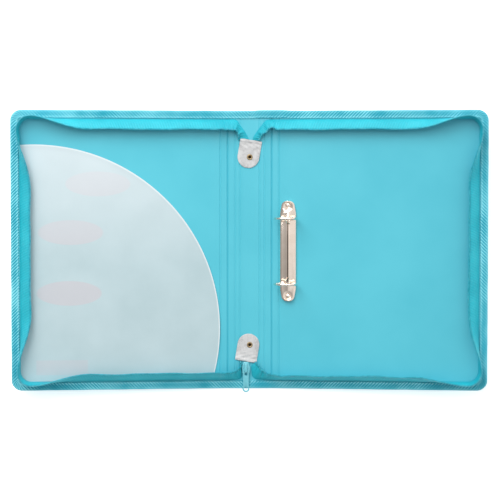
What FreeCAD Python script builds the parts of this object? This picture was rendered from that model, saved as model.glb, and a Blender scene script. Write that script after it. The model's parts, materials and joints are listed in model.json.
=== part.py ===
import FreeCAD, Part
import math
import os

import Sketcher

# Zip-around two-ring binder, lying open with its inside face up.
# +X runs across the open covers, +Y towards the head of the book, +Z up.
# The origin is under the middle of the spine, on the surface that the binder lies on.

SIZES = [
    # the folded sheet
    ("spine_width", 54.0, "between the two folding creases"),
    ("cover_width", 263.0, "folding crease to outer edge, over the binding"),
    ("book_height", 341.0, "head to foot, over the binding"),
    ("sheet_thick", 1.2, "polypropylene sheet"),
    ("hinge_gap", 0.4, "thinned strip of a folding crease"),
    ("cover_lift", 5.4, "degrees that a cover springs up off the table"),
    ("score_width", 1.0, "pressed relief line"),
    ("score_depth", 0.35, "pressed relief line"),
    ("cover_score", 9.0, "relief line outside the folding crease"),
    ("spine_score_a", 9.0, "first relief line inside the folding crease"),
    ("spine_score_b", 15.0, "second relief line inside the folding crease"),
    # woven binding round the edge
    ("binding_thick", 0.6, "one layer of the woven binding"),
    ("binding_width", 10.0, "visible width on each face"),
    ("binding_gap", 0.9, "binding stops short of the folding crease"),
    ("corner_radius", 13.0, "outer corner"),
    ("inner_radius", 4.0, "inner corner of the binding"),
    # zip
    ("zip_tape_thick", 0.8, "woven zip tape"),
    ("zip_tape_width", 16.0, "seam to coil"),
    ("zip_lean", 49.0, "degrees from upright, along the sides"),
    ("zip_corner", 14.0, "radius of the seam round a corner"),
    ("zip_straighten", 45.0, "length over which the wall stands up to a corner"),
    ("zip_start", 7.0, "free end of the wall, from the folding crease"),
    ("coil_width", 2.2, "coil beyond the tape"),
    ("coil_thick", 2.2, "coil across the tape"),
    ("zip_end_thick", 2.4, "folded tape end"),
    ("zip_end_length", 14.0, "folded tape end beyond the tab's hem"),
    ("zip_end_apart", 0.6, "folded tape ends off the middle, at the head"),
    ("zip_end_clear", 1.4, "folded tape end to the slider, at the foot"),
    ("zip_end_inset", 3.0, "folded tape end inside the tab's side"),
    ("zip_end_slant", 4.0, "folded tape end narrows by this much"),
    # end tabs
    ("tab_width", 27.0, "leatherette tab"),
    ("tab_straight", 21.0, "straight part of the tab"),
    ("tab_thick", 1.6, "tab"),
    ("tab_inset", 55.3, "tab's round end centre from the head or foot edge"),
    ("tab_shift", 1.3, "tabs stand off the middle of the spine"),
    ("tab_turn", 9.5, "degrees that the tabs lie askew"),
    ("fittings_drop", 1.1, "rings and tabs sit below the middle"),
    ("eyelet_offset", 1.6, "eyelet off the tab's middle line"),
    ("eyelet_flange", 3.2, "flange radius"),
    ("eyelet_barrel", 1.9, "barrel outer radius"),
    ("eyelet_bore", 1.2, "barrel inner radius"),
    ("eyelet_plate", 0.5, "flange thickness"),
    # corner pocket
    ("pocket_spine_room", 9.5, "mouth of the pocket to the folding crease"),
    ("pocket_head_room", 42.0, "mouth of the pocket to the head edge"),
    ("pocket_side", 28.5, "centre of the mouth from the outer edge"),
    ("pocket_foot", 74.0, "centre of the mouth from the foot"),
    ("pocket_inset", 11.6, "welded edges from the cover's edge"),
    ("film_thick", 0.3, "frosted film"),
    # ring mechanism
    ("mech_reach", 20.5, "middle of the mechanism from the folding crease"),
    ("mech_length", 122.5, "cover plate"),
    ("mech_width", 20.0, "cover plate"),
    ("mech_straight", 88.0, "full-width stretch of the cover plate"),
    ("mech_tip", 14.0, "width of the cover plate's round ends"),
    ("steel_thick", 0.7, "cover plate"),
    ("shoulder_height", 3.0, "cover plate at its long edges"),
    ("ridge_height", 5.2, "cover plate at its ridge"),
    ("ridge_round", 1.4, "bend radius along the ridge"),
    ("lip_width", 1.3, "lip that holds a blade"),
    ("ring_spacing", 80.0, "two-hole filing standard"),
    ("wire_thick", 2.9, "ring wire"),
    ("leg_offset", 4.7, "ring leg from the middle of the mechanism"),
    ("ring_height", 26.5, "wire centre over the sheet"),
    ("ring_foot", 0.25, "foot of a ring's leg, over the plate's thickness"),
    ("leg_rise", 1.6, "ring leg above the ridge, up to its bend"),
    ("bow_reach", 15.3, "curved side of a ring, from the middle"),
    ("bow_rise", 3.6, "first bend of the curved side to its second"),
    ("bow_bend_low", 3.2, "bend radius"),
    ("bow_bend_side", 5.0, "bend radius"),
    ("bow_bend_top", 12.0, "bend radius"),
    ("post_reach", 10.2, "straight side of a ring, from the middle"),
    ("post_rise", 1.8, "first bend of the straight side to its second"),
    ("post_bend_low", 2.2, "bend radius"),
    ("post_bend_top", 6.0, "bend radius"),
    ("meet_offset", 2.0, "where the halves of a ring meet, from the middle"),
    ("meet_gap", 0.3, "between the halves of a shut ring"),
    ("blade_thick", 1.0, "blade"),
    ("blade_length", 86.0, "blade"),
    ("blade_gap", 1.2, "between the blades"),
    ("blade_play", 0.3, "blade to cover plate"),
    ("blade_dip", 3.0, "degrees below level when the rings are shut"),
    ("ring_opening", 13.0, "degrees that each blade turns to open"),
    ("well_radius", 6.5, "round well at each end of the cover plate"),
    ("well_offset", 54.4, "well from the middle of the mechanism"),
    ("rivet_offset", 1.5, "rivet beyond the middle of its well"),
    ("rivet_shank", 1.9, "radius"),
    ("rivet_head", 3.4, "radius"),
    ("rivet_rise", 1.5, "height of the head"),
    ("rivet_back", 4.2, "radius of the head behind the cover"),
    ("washer_radius", 5.2, "washer behind the cover"),
    ("washer_thick", 0.5, "washer behind the cover"),
    # zip slider and its puller
    ("slider_width", 9.8, "slider"),
    ("slider_length", 13.6, "slider"),
    ("slider_taper", 2.0, "each side of the slider narrows by this much"),
    ("divider_width", 2.4, "post between the wings, at the foot"),
    ("divider_tip", 1.0, "post between the wings, at its tip"),
    ("divider_start", 1.0, "post between the wings, from the slider's end"),
    ("divider_length", 4.0, "post between the wings"),
    ("slider_side", 4.4, "slider's middle, off the middle of the spine"),
    ("slider_inset", 26.2, "slider's middle from the foot edge"),
    ("slider_plate", 1.0, "each wing of the slider"),
    ("slider_mouth", 2.0, "between the wings"),
    ("slider_stand", 0.4, "slider over the sheet"),
    ("bridge_width", 2.4, "bridge over the slider"),
    ("bridge_thick", 1.0, "bridge over the slider"),
    ("bridge_room", 2.6, "under the bridge"),
    ("bridge_length", 11.0, "bridge over the slider"),
    ("puller_thick", 1.2, "puller"),
    ("puller_width", 7.0, "puller"),
    ("puller_eye_width", 3.2, "eye round the bridge"),
    ("puller_eye_length", 6.2, "eye round the bridge"),
    ("puller_ring", 4.3, "outer radius of the puller's ring end"),
    ("puller_hole", 2.7, "radius of the puller's hole"),
    ("puller_reach", 23.7, "pivot to the hole"),
    ("puller_droop", 9.6, "degrees that the puller hangs below level"),
]

HALF_SPINE = "dims.spine_width / 2"
EDGE_X = "(dims.spine_width / 2 + dims.cover_width)"
EDGE_Y = "dims.book_height / 2"
SHEET_TOP = "(dims.binding_thick + dims.sheet_thick)"
MECH_X = "(dims.spine_width / 2 + dims.mech_reach)"
MOUTH_RADIUS = (
    "min(dims.cover_width - dims.pocket_side - dims.pocket_spine_room; "
    "dims.book_height - dims.pocket_foot - dims.pocket_head_room)"
)
PIVOT_X = "(dims.mech_width / 2 - dims.steel_thick - dims.blade_play - dims.blade_thick / 2)"
PIVOT_Z = "(dims.steel_thick + dims.blade_play + dims.blade_thick / 2)"
BRIDGE_FOOT = (
    "(" + SHEET_TOP + " + dims.slider_stand + 2 * dims.slider_plate + dims.slider_mouth)"
)

doc = FreeCAD.newDocument("ring_binder")
dims = doc.addObject("Spreadsheet::Sheet", "dims")
for row, (alias, size, meaning) in enumerate(SIZES, start=1):
    dims.set(f"A{row}", meaning)
    dims.set(f"B{row}", str(size))
    dims.setAlias(f"B{row}", alias)
doc.recompute()

nodes = []


# ---------------------------------------------------------------- general helpers

def value(expression):
    """The present value of an expression over the sheet, as a plain number."""
    found = dims.evalExpression(str(expression))
    return float(getattr(found, "Value", found))


def new_sketch(body, role, lift="0"):
    """A sketch on one of the body's own origin planes, raised along that plane's normal."""
    sketch = body.newObject("Sketcher::SketchObject", "sketch")
    plane = [item for item in body.Origin.OriginFeatures if item.Role == role][0]
    sketch.AttachmentSupport = [(plane, "")]
    sketch.MapMode = "FlatFace"
    sketch.setExpression("AttachmentOffset.Base.z", str(lift))
    return sketch


def hold_point(sketch, geometry, end, x, y):
    """Ties a sketch point's two coordinates to expressions."""
    for kind, expression in (("DistanceX", x), ("DistanceY", y)):
        place = value(expression)
        rule = sketch.addConstraint(Sketcher.Constraint(kind, -1, 1, geometry, end, place))
        sketch.setExpression(f"Constraints[{rule}]", str(expression))


def add_polygon(sketch, corners):
    """A closed polygon whose corners are pairs of expressions."""
    spots = [FreeCAD.Vector(value(x), value(y), 0) for x, y in corners]
    first = sketch.GeometryCount
    count = len(spots)
    for i in range(count):
        sketch.addGeometry(Part.LineSegment(spots[i], spots[(i + 1) % count]), False)
    for i in range(count):
        following = first + (i + 1) % count
        sketch.addConstraint(Sketcher.Constraint("Coincident", first + i, 2, following, 1))
    for i, (x, y) in enumerate(corners):
        hold_point(sketch, first + i, 1, x, y)


def add_circle(sketch, x, y, radius):
    """A circle whose centre and radius are expressions."""
    centre = FreeCAD.Vector(value(x), value(y), 0)
    circle = sketch.addGeometry(
        Part.Circle(centre, FreeCAD.Vector(0, 0, 1), value(radius)), False
    )
    hold_point(sketch, circle, 3, x, y)
    rule = sketch.addConstraint(Sketcher.Constraint("Radius", circle, value(radius)))
    sketch.setExpression(f"Constraints[{rule}]", str(radius))


def rectangle(x0, y0, x1, y1):
    """The corners of a rectangle, as pairs of expressions."""
    return [(x0, y0), (x1, y0), (x1, y1), (x0, y1)]


def new_body(name):
    """An empty body."""
    return doc.addObject("PartDesign::Body", name)


def pad(body, sketch, length, midplane=False):
    """Pads a sketch by an expression."""
    feature = body.newObject("PartDesign::Pad", "pad")
    feature.Profile = sketch
    feature.Midplane = midplane
    feature.setExpression("Length", str(length))
    sketch.Visibility = False
    return feature


def prism(name, corners, bottom, height):
    """A body with one upright pad over a polygon."""
    body = new_body(name)
    sketch = new_sketch(body, "XY_Plane", bottom)
    add_polygon(sketch, corners)
    pad(body, sketch, height)
    return body


def long_section(name, corners, length, middle="0"):
    """A body with an XZ section padded along Y, half each way from the middle."""
    body = new_body(name)
    sketch = new_sketch(body, "XZ_Plane", f"-({middle})")
    add_polygon(sketch, corners)
    pad(body, sketch, length, midplane=True)
    return body


def pocket(body, sketch, depth):
    """Cuts a sketch down into the body by an expression."""
    feature = body.newObject("PartDesign::Pocket", "pocket")
    feature.Profile = sketch
    feature.setExpression("Length", str(depth))
    sketch.Visibility = False
    return feature


def drill(body, spots, radius, top, depth):
    """Round upright holes from a height downwards."""
    sketch = new_sketch(body, "XY_Plane", top)
    for x, y in spots:
        add_circle(sketch, x, y, radius)
    pocket(body, sketch, depth)


def round_edges(body, radius, wanted):
    """Fillets the edges that a test picks out of the body's present shape."""
    doc.recompute()
    rough = body.Tip
    picked = [f"Edge{i + 1}" for i, edge in enumerate(rough.Shape.Edges) if wanted(edge)]
    feature = body.newObject("PartDesign::Fillet", "fillet")
    feature.Base = (rough, picked)
    feature.setExpression("Radius", str(radius))
    return feature


def upright_at(x, y):
    """A test for upright edges at a place, whichever side of the middle they are on."""
    def test(edge):
        box = edge.BoundBox
        upright = box.ZLength > max(box.XLength, box.YLength) + 0.01
        near_x = abs(abs(box.Center.x) - abs(x)) < 0.01
        return upright and near_x and abs(abs(box.Center.y) - abs(y)) < 0.01
    return test


def turned(name, outline):
    """A body turned about its own Z axis from (radius, height) corners."""
    body = new_body(name)
    sketch = new_sketch(body, "XZ_Plane")
    add_polygon(sketch, outline)
    feature = body.newObject("PartDesign::Revolution", "turning")
    feature.Profile = sketch
    feature.ReferenceAxis = (sketch, ["V_Axis"])
    feature.Angle = 360.0
    sketch.Visibility = False
    return body


def cut(name, base, tool):
    """The base without the tool."""
    feature = doc.addObject("Part::Cut", name)
    feature.Base = base
    feature.Tool = tool
    return feature


def fuse(name, shapes):
    """Several shapes as one."""
    feature = doc.addObject("Part::MultiFuse", name)
    feature.Shapes = shapes
    feature.Refine = True
    return feature


def common(name, shapes):
    """What several shapes share."""
    feature = doc.addObject("Part::MultiCommon", name)
    feature.Shapes = shapes
    return feature


def group(name, shapes, placement=None):
    """Shapes kept together, with a placement of their own."""
    feature = doc.addObject("Part::Compound", name)
    feature.Links = shapes
    if placement:
        feature.setExpression("Placement", placement)
    return feature


def turn_about(x, y, z, axis, degrees):
    """The placement expression for a turn about a line through a point."""
    return (
        f"placement(vector(0; 0; 0); rotation(vector({axis}); {degrees}); "
        f"vector({x}; {y}; {z}))"
    )


def move_to(x, y, z, degrees="0"):
    """The placement expression for a turn about Z and then a move."""
    return (
        f"placement(vector({x}; {y}; {z}); rotation(vector(0; 0; 1); {degrees}))"
    )


COVER_PLACE = {
    -1: turn_about(f"-{HALF_SPINE}", "0", SHEET_TOP, "0; 1; 0", "dims.cover_lift"),
    1: turn_about(HALF_SPINE, "0", SHEET_TOP, "0; 1; 0", "-dims.cover_lift"),
}


def keep(label, shape, placement=None):
    """Puts a finished piece in place under its own label."""
    piece = group("piece", [shape], placement)
    piece.Label = label
    nodes.append(piece)
    return piece


def keep_on_cover(label, side, shape):
    """Puts a piece that is built level on its sprung-up cover."""
    return keep(label, shape, COVER_PLACE[side])


# ---------------------------------------------------------------- folded sheet

def cover_panel(side):
    """One cover of the folded sheet, with its outer corners rounded and one relief line."""
    inner = f"{side} * ({HALF_SPINE} + dims.hinge_gap / 2)"
    outer = f"{side} * ({EDGE_X} - dims.binding_thick)"
    end = f"({EDGE_Y} - dims.binding_thick)"
    corners = rectangle(inner, f"-{end}", outer, end)
    body = prism("panel", corners, "dims.binding_thick", "dims.sheet_thick")
    wanted = upright_at(value(outer), value(end))
    round_edges(body, "dims.corner_radius - dims.binding_thick", wanted)
    relief_lines(body, [f"{side} * ({HALF_SPINE} + dims.cover_score)"])
    return body


def relief_lines(body, places):
    """Pressed lines along Y in the upper face of a panel."""
    sketch = new_sketch(body, "XY_Plane", SHEET_TOP)
    for x in places:
        corners = rectangle(
            f"{x} - dims.score_width / 2", f"-{EDGE_Y}",
            f"{x} + dims.score_width / 2", EDGE_Y,
        )
        add_polygon(sketch, corners)
    pocket(body, sketch, "dims.score_depth")


def tab_centre(end):
    """Centre of a tab's round end; end is 1 at the head and -1 at the foot."""
    return "-dims.tab_shift", f"({end} * ({EDGE_Y} - dims.tab_inset) - dims.fittings_drop)"


def eyelet_place(end):
    """Centre of a tab's eyelet."""
    x, y = tab_centre(end)
    aside = "dims.eyelet_offset * cos(dims.tab_turn)"
    along = "dims.eyelet_offset * sin(dims.tab_turn)"
    return f"({x} + {aside})", f"({y} - {along})"


def spine_panel():
    """The spine of the folded sheet, with four relief lines and two eyelet holes."""
    half = f"({HALF_SPINE} - dims.hinge_gap / 2)"
    end = f"({EDGE_Y} - dims.binding_thick)"
    corners = rectangle(f"-{half}", f"-{end}", half, end)
    body = prism("panel", corners, "dims.binding_thick", "dims.sheet_thick")
    places = []
    for side in (-1, 1):
        for score in ("dims.spine_score_a", "dims.spine_score_b"):
            places.append(f"{side} * ({HALF_SPINE} - {score})")
    relief_lines(body, places)
    spots = [eyelet_place(end) for end in (1, -1)]
    drill(body, spots, "dims.eyelet_barrel", SHEET_TOP, "2 * dims.sheet_thick")
    return body


# ---------------------------------------------------------------- woven binding

def cover_binding(side, panel):
    """Binding folded over the three free edges of a cover."""
    inner = f"{side} * ({HALF_SPINE} + dims.binding_gap)"
    outer = f"{side} * {EDGE_X}"
    thick = "(dims.sheet_thick + 2 * dims.binding_thick)"
    body = prism("binding", rectangle(inner, f"-{EDGE_Y}", outer, EDGE_Y), "0", thick)
    round_edges(body, "dims.corner_radius", upright_at(value(outer), value(EDGE_Y)))
    window_x = f"{side} * ({EDGE_X} - dims.binding_width)"
    window_y = f"({EDGE_Y} - dims.binding_width)"
    window = prism(
        "window", rectangle("0", f"-{window_y}", window_x, window_y), "-1", f"{thick} + 2"
    )
    round_edges(window, "dims.inner_radius", upright_at(value(window_x), value(window_y)))
    return cut("folded_binding", cut("frame", body, window), panel)


def spine_binding(end, panel):
    """Binding folded over one end of the spine."""
    half = f"({HALF_SPINE} - dims.hinge_gap / 2)"
    near = f"{end} * ({EDGE_Y} - dims.binding_width)"
    far = f"{end} * {EDGE_Y}"
    thick = "(dims.sheet_thick + 2 * dims.binding_thick)"
    body = prism("binding", rectangle(f"-{half}", near, half, far), "0", thick)
    return cut("folded_binding", body, panel)


# ---------------------------------------------------------------- zip

def seam_stations(side):
    """
    Places along the seam of one zip half: x, y, the outward normal and the lean.
    The wall leans in along the straight sides and stands upright at the corners.
    """
    seam = value("dims.binding_width")
    corner = value("dims.zip_corner")
    lean = value("dims.zip_lean")
    settle = value("dims.zip_straighten")
    start = value(HALF_SPINE) + value("dims.zip_start")
    far_x = value(EDGE_X) - seam
    far_y = value(EDGE_Y) - seam
    steps = 4
    head = []
    for i in range(steps + 1):
        share = i / steps
        reach = far_x - corner - settle * (1 - share)
        head.append((reach, far_y, 0.0, 1.0, lean * (1 - share ** 2)))
    head.insert(0, (start, far_y, 0.0, 1.0, lean))
    for i in range(1, steps):
        angle = math.radians(90 * (1 - i / steps))
        x = far_x - corner + corner * math.cos(angle)
        y = far_y - corner + corner * math.sin(angle)
        head.append((x, y, math.cos(angle), math.sin(angle), 0.0))
    for i in range(steps + 1):
        share = i / steps
        rise = far_y - corner - settle * share
        head.append((far_x, rise, 1.0, 0.0, lean * (1 - (1 - share) ** 2)))
    foot = [(x, -y, nx, -ny, tilt) for x, y, nx, ny, tilt in reversed(head)]
    return [(side * x, y, side * nx, ny, tilt) for x, y, nx, ny, tilt in head + foot]


def wall_loft(side, low, high, thick):
    """A ruled wall on the seam, from one distance up the tape to another."""
    base_z = value(SHEET_TOP)
    sections = []
    for x, y, normal_x, normal_y, tilt in seam_stations(side):
        inward = FreeCAD.Vector(-normal_x, -normal_y, 0)
        up = FreeCAD.Vector(0, 0, 1)
        lean = math.radians(tilt)
        along = inward * math.sin(lean) + up * math.cos(lean)
        across = inward * math.cos(lean) - up * math.sin(lean)
        flat = inward * (1 / math.cos(lean))
        foot = FreeCAD.Vector(x, y, base_z)
        if low == 0:
            corners = [foot, foot + along * high]
            corners += [foot + along * high + across * thick, foot + flat * thick]
        else:
            middle = across * (value("dims.zip_tape_thick") / 2)
            back = middle - across * (thick / 2)
            front = middle + across * (thick / 2)
            corners = [foot + along * low + back, foot + along * high + back]
            corners += [foot + along * high + front, foot + along * low + front]
        sections.append(Part.makePolygon(corners + [corners[0]]))
    return Part.makeLoft(sections, True, True)


def zip_piece(name, side, low, high, thick):
    """A lofted part of one zip half."""
    piece = doc.addObject("Part::Feature", name)
    piece.Shape = wall_loft(side, low, high, thick)
    return piece


def zip_half(word, side):
    """The tape and the coil of one zip half."""
    width = value("dims.zip_tape_width")
    tape = zip_piece("tape", side, 0, width, value("dims.zip_tape_thick"))
    top = width + value("dims.coil_width")
    coil = zip_piece("coil", side, width, top, value("dims.coil_thick"))
    keep_on_cover(f"zip_tape_{word}", side, tape)
    keep_on_cover(f"zip_coil_{word}", side, coil)


def zip_end(end, side):
    """A tape end gathered from the seam down to its tab, in the tab's own frame."""
    near = f"{end} * dims.tab_straight"
    far = f"{end} * (dims.tab_straight + dims.zip_end_length)"
    middle = "dims.zip_end_apart" if end > 0 else "(dims.slider_width / 2 + dims.zip_end_clear)"
    tip = f"{side} * {middle}"
    hem = f"{side} * (dims.tab_width / 2 - dims.zip_end_inset)"
    slanted = f"{tip} + {side} * dims.zip_end_slant"
    corners = [(tip, near), (hem, near), (hem, far), (slanted, far)]
    return prism("zip_end", corners, SHEET_TOP, "dims.zip_end_thick")


# ---------------------------------------------------------------- tabs and eyelets

def tab(end):
    """A leatherette tab: a straight part and a round end, in its own frame."""
    half = "dims.tab_width / 2"
    far = f"{end} * dims.tab_straight"
    body = prism("tab", rectangle(f"-{half}", "0", half, far), SHEET_TOP, "dims.tab_thick")
    sketch = new_sketch(body, "XY_Plane", SHEET_TOP)
    add_circle(sketch, "0", "0", half)
    pad(body, sketch, "dims.tab_thick")
    top = f"{SHEET_TOP} + dims.tab_thick"
    drill(body, [("dims.eyelet_offset", "0")], "dims.eyelet_barrel", top, "dims.tab_thick * 2")
    return body


def eyelet():
    """A tubular rivet through a tab and the sheet, flanged at both ends."""
    top = f"({SHEET_TOP} + dims.tab_thick)"
    low = "(dims.binding_thick - dims.eyelet_plate)"
    return turned("eyelet", [
        ("dims.eyelet_bore", low),
        ("dims.eyelet_flange", low),
        ("dims.eyelet_flange", "dims.binding_thick"),
        ("dims.eyelet_barrel", "dims.binding_thick"),
        ("dims.eyelet_barrel", top),
        ("dims.eyelet_flange", top),
        ("dims.eyelet_flange", f"{top} + dims.eyelet_plate"),
        ("dims.eyelet_bore", f"{top} + dims.eyelet_plate"),
    ])


# ---------------------------------------------------------------- corner pocket

def pocket_film():
    """The frosted film welded along the fore-edge and the foot, with a curved mouth."""
    fore_edge = f"(-{EDGE_X} + dims.pocket_inset)"
    foot = f"(-{EDGE_Y} + dims.pocket_inset)"
    inner = f"(-{EDGE_X} + dims.pocket_side + {MOUTH_RADIUS})"
    head = f"(-{EDGE_Y} + dims.pocket_foot + {MOUTH_RADIUS})"
    block = prism("film", rectangle(fore_edge, foot, inner, head), SHEET_TOP, "dims.film_thick")
    corner_x = value(fore_edge)
    corner_y = value(foot)

    def outer_corner(edge):
        centre = edge.BoundBox.Center
        return abs(centre.x - corner_x) < 0.01 and abs(centre.y - corner_y) < 0.01

    round_edges(block, "dims.zip_corner - dims.pocket_inset + dims.binding_width", outer_corner)
    mouth = doc.addObject("Part::Cylinder", "mouth")
    mouth.setExpression("Radius", MOUTH_RADIUS)
    mouth.setExpression("Height", "dims.film_thick")
    mouth.setExpression("Placement.Base.x", f"-{EDGE_X} + dims.pocket_side")
    mouth.setExpression("Placement.Base.y", f"-{EDGE_Y} + dims.pocket_foot")
    mouth.setExpression("Placement.Base.z", SHEET_TOP)
    return common("film", [block, mouth])


# ---------------------------------------------------------------- ring mechanism
# Built about its own middle, on the sheet's upper face, and then moved to its place.

MECH_PLACE = move_to(MECH_X, "-dims.fittings_drop", SHEET_TOP)


def keep_on_mechanism(label, shape):
    """Puts a piece of the mechanism on the back cover."""
    return keep_on_cover(label, 1, group("in_place", [shape], MECH_PLACE))


def plate_outline(inset):
    """Plan of the cover plate: full width in the middle, narrower at the ends."""
    half = f"(dims.mech_width / 2 - {inset})"
    tip = f"(dims.mech_tip / 2 - {inset})"
    knee = "dims.mech_straight / 2"
    end = f"(dims.mech_length / 2 - {inset})"
    return [
        (f"-{tip}", f"-{end}"), (tip, f"-{end}"), (half, f"-{knee}"), (half, knee),
        (tip, end), (f"-{tip}", end), (f"-{half}", knee), (f"-{half}", f"-{knee}"),
    ]


def plate_solid(name, inset, low):
    """The plan and the roof section of the cover plate, set in by a thickness."""
    plan = prism(f"{name}_plan", plate_outline(inset), low, "dims.ridge_height + 2")
    tip_x = value(f"dims.mech_tip / 2 - {inset}")
    tip_y = value(f"dims.mech_length / 2 - {inset}")
    round_edges(plan, f"dims.mech_tip / 2 - {inset} - 0.6", upright_at(tip_x, tip_y))
    half = f"(dims.mech_width / 2 - {inset})"
    roof = long_section(f"{name}_roof", [
        (f"-{half}", low), (half, low), (half, f"dims.shoulder_height - {inset}"),
        ("0", f"dims.ridge_height - {inset}"), (f"-{half}", f"dims.shoulder_height - {inset}"),
    ], "dims.mech_length + 2")
    if inset == "0":
        round_edges(roof, "dims.ridge_round", lengthwise_above(value("dims.shoulder_height") / 2))
    return common(name, [plan, roof])


def lengthwise_above(height):
    """A test for edges along Y that lie above a height."""
    def test(edge):
        box = edge.BoundBox
        return box.YLength > box.XLength + box.ZLength and box.ZMin > height
    return test


def cover_plate():
    """Roof-shaped spring-steel plate with two wells, four leg slots and two blade lips."""
    outer = plate_solid("outer", "0", "0")
    inner = plate_solid("inner", "dims.steel_thick", "-1")
    well_plugs = []
    well_holes = []
    for end in (-1, 1):
        y = f"{end} * dims.well_offset"
        plug = new_body("plug")
        sketch = new_sketch(plug, "XY_Plane")
        add_circle(sketch, "0", y, "dims.well_radius")
        pad(plug, sketch, "dims.ridge_height + 1")
        well_plugs.append(plug)
        hole = new_body("hole")
        sketch = new_sketch(hole, "XY_Plane", "dims.steel_thick")
        add_circle(sketch, "0", y, "dims.well_radius - dims.steel_thick")
        pad(hole, sketch, "dims.ridge_height + 1")
        well_holes.append(hole)
        bore = new_body("bore")
        sketch = new_sketch(bore, "XY_Plane", "-1")
        add_circle(sketch, "0", f"{y} + {end} * dims.rivet_offset", "dims.rivet_shank")
        pad(bore, sketch, "dims.ridge_height + 1")
        well_holes.append(bore)
    shell = cut("shell", outer, inner)
    cups = common("cups", [outer, fuse("plugs", well_plugs)])
    lips = []
    for side in (-1, 1):
        wall = f"{side} * (dims.mech_width / 2 - dims.steel_thick / 2)"
        edge = f"{side} * (dims.mech_width / 2 - dims.steel_thick - dims.lip_width)"
        run = "dims.mech_straight / 2"
        corners = rectangle(wall, f"-{run}", edge, run)
        lips.append(prism("lip", corners, "0", "dims.steel_thick"))
    solid = fuse("stamping", [shell, cups] + lips)
    slots = []
    for side in (-1, 1):
        near = f"{side} * (dims.leg_offset - dims.wire_thick / 2 - 0.6)"
        far = f"{side} * (dims.leg_offset + dims.wire_thick / 2 + 1.6)"
        for end in (-1, 1):
            y = f"{end} * dims.ring_spacing / 2"
            half = "(dims.wire_thick / 2 + 0.4)"
            corners = rectangle(near, f"{y} - {half}", far, f"{y} + {half}")
            slots.append(prism("slot", corners, "dims.steel_thick", "dims.ridge_height"))
    return cut("cover_plate", solid, fuse("openings", well_holes + slots))


def rounded_wire(spots, radii):
    """Straight runs through the spots, joined by tangent arcs of the given radii."""
    edges = []
    start = spots[0]
    for corner, following, radius in zip(spots[1:-1], spots[2:], radii):
        before = (corner - start).normalize()
        after = (following - corner).normalize()
        turn = before.getAngle(after)
        trim = radius * math.tan(turn / 2)
        first = corner - before * trim
        last = corner + after * trim
        bisector = (after - before).normalize()
        centre = corner + bisector * (radius / math.cos(turn / 2))
        middle = centre - bisector * radius
        edges.append(Part.LineSegment(start, first).toShape())
        edges.append(Part.Arc(first, middle, last).toShape())
        start = last
    edges.append(Part.LineSegment(start, spots[-1]).toShape())
    return Part.Wire(edges)


def ring_half(side):
    """
    Half of a D-shaped ring in the plane Y = 0. The half on the spine side is bowed;
    the other has the straight post that lines the sheets up.
    """
    leg = side * value("dims.leg_offset")
    reach = value("dims.bow_reach") if side < 0 else value("dims.post_reach")
    top = value("dims.ring_height")
    meet = value("dims.meet_offset") + side * value("dims.meet_gap") / 2
    foot = value("dims.steel_thick + dims.ring_foot")
    crook = value("dims.ridge_height + dims.leg_rise")
    elbow = crook + value("dims.bow_rise" if side < 0 else "dims.post_rise")
    spots = [
        FreeCAD.Vector(leg, 0, foot), FreeCAD.Vector(leg, 0, crook),
        FreeCAD.Vector(side * reach, 0, elbow), FreeCAD.Vector(side * reach, 0, top),
        FreeCAD.Vector(meet, 0, top),
    ]
    bends = ("bow_bend_low", "bow_bend_side", "bow_bend_top")
    if side > 0:
        bends = ("post_bend_low", "post_bend_low", "post_bend_top")
    radii = [value(f"dims.{bend}") for bend in bends]
    path = doc.addObject("Part::Feature", "ring_path")
    path.Shape = rounded_wire(spots, radii)
    profile = doc.addObject("Part::Circle", "wire_section")
    profile.setExpression("Radius", "dims.wire_thick / 2")
    profile.setExpression("Placement.Base.x", f"{side} * dims.leg_offset")
    profile.Placement.Base.z = foot
    sweep = doc.addObject("Part::Sweep", "ring_wire")
    sweep.Sections = [profile]
    sweep.Spine = (path, [])
    sweep.Solid = True
    return sweep


def ring_in_place(wire, end):
    """A ring half at one of the two standard hole places."""
    return group("ring", [wire], move_to("0", f"{end} * dims.ring_spacing / 2", "0"))


def blade(side, rings):
    """A blade whose rounded outer edge turns in the cover plate's lip, holed for its legs."""
    pivot = f"{side} * {PIVOT_X}"
    outer = f"{side} * ({PIVOT_X} + dims.blade_thick / 2)"
    inner = f"{side} * dims.blade_gap / 2"
    low = f"({PIVOT_Z} - dims.blade_thick / 2)"
    high = f"({PIVOT_Z} + dims.blade_thick / 2)"
    corners = [(inner, low), (outer, low), (outer, high), (inner, high)]
    body = long_section("blade", corners, "dims.blade_length")
    edge_x = value(outer)

    def on_outer_edge(edge):
        box = edge.BoundBox
        return box.YLength > 1 and abs(box.Center.x - edge_x) < 0.01

    round_edges(body, "dims.blade_thick / 2 - 0.02", on_outer_edge)
    dip = f"{side} * -dims.blade_dip"
    placed = group("dipped", [body], turn_about(pivot, "0", PIVOT_Z, "0; 1; 0", dip))
    return cut("holed_blade", placed, group("legs", rings))


def rivet():
    """A rivet through the well floor, the sheet and the washer behind it."""
    back = "(dims.sheet_thick + dims.washer_thick)"
    crown = "(dims.steel_thick + dims.rivet_rise)"
    return turned("rivet", [
        ("0", f"-{back} - 0.9"),
        ("dims.rivet_back - 1", f"-{back} - 0.9"),
        ("dims.rivet_back", f"-{back} - 0.3"),
        ("dims.rivet_back", f"-{back}"),
        ("dims.rivet_shank", f"-{back}"),
        ("dims.rivet_shank", "dims.steel_thick"),
        ("dims.rivet_head", "dims.steel_thick"),
        ("dims.rivet_head", f"{crown} - 0.6"),
        ("dims.rivet_head - 1.2", crown),
        ("0", crown),
    ])


def washer():
    """The washer behind the cover."""
    low = "-(dims.sheet_thick + dims.washer_thick)"
    return turned("washer", [
        ("dims.rivet_shank", low), ("dims.washer_radius", low),
        ("dims.washer_radius", "-dims.sheet_thick"), ("dims.rivet_shank", "-dims.sheet_thick"),
    ])


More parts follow.
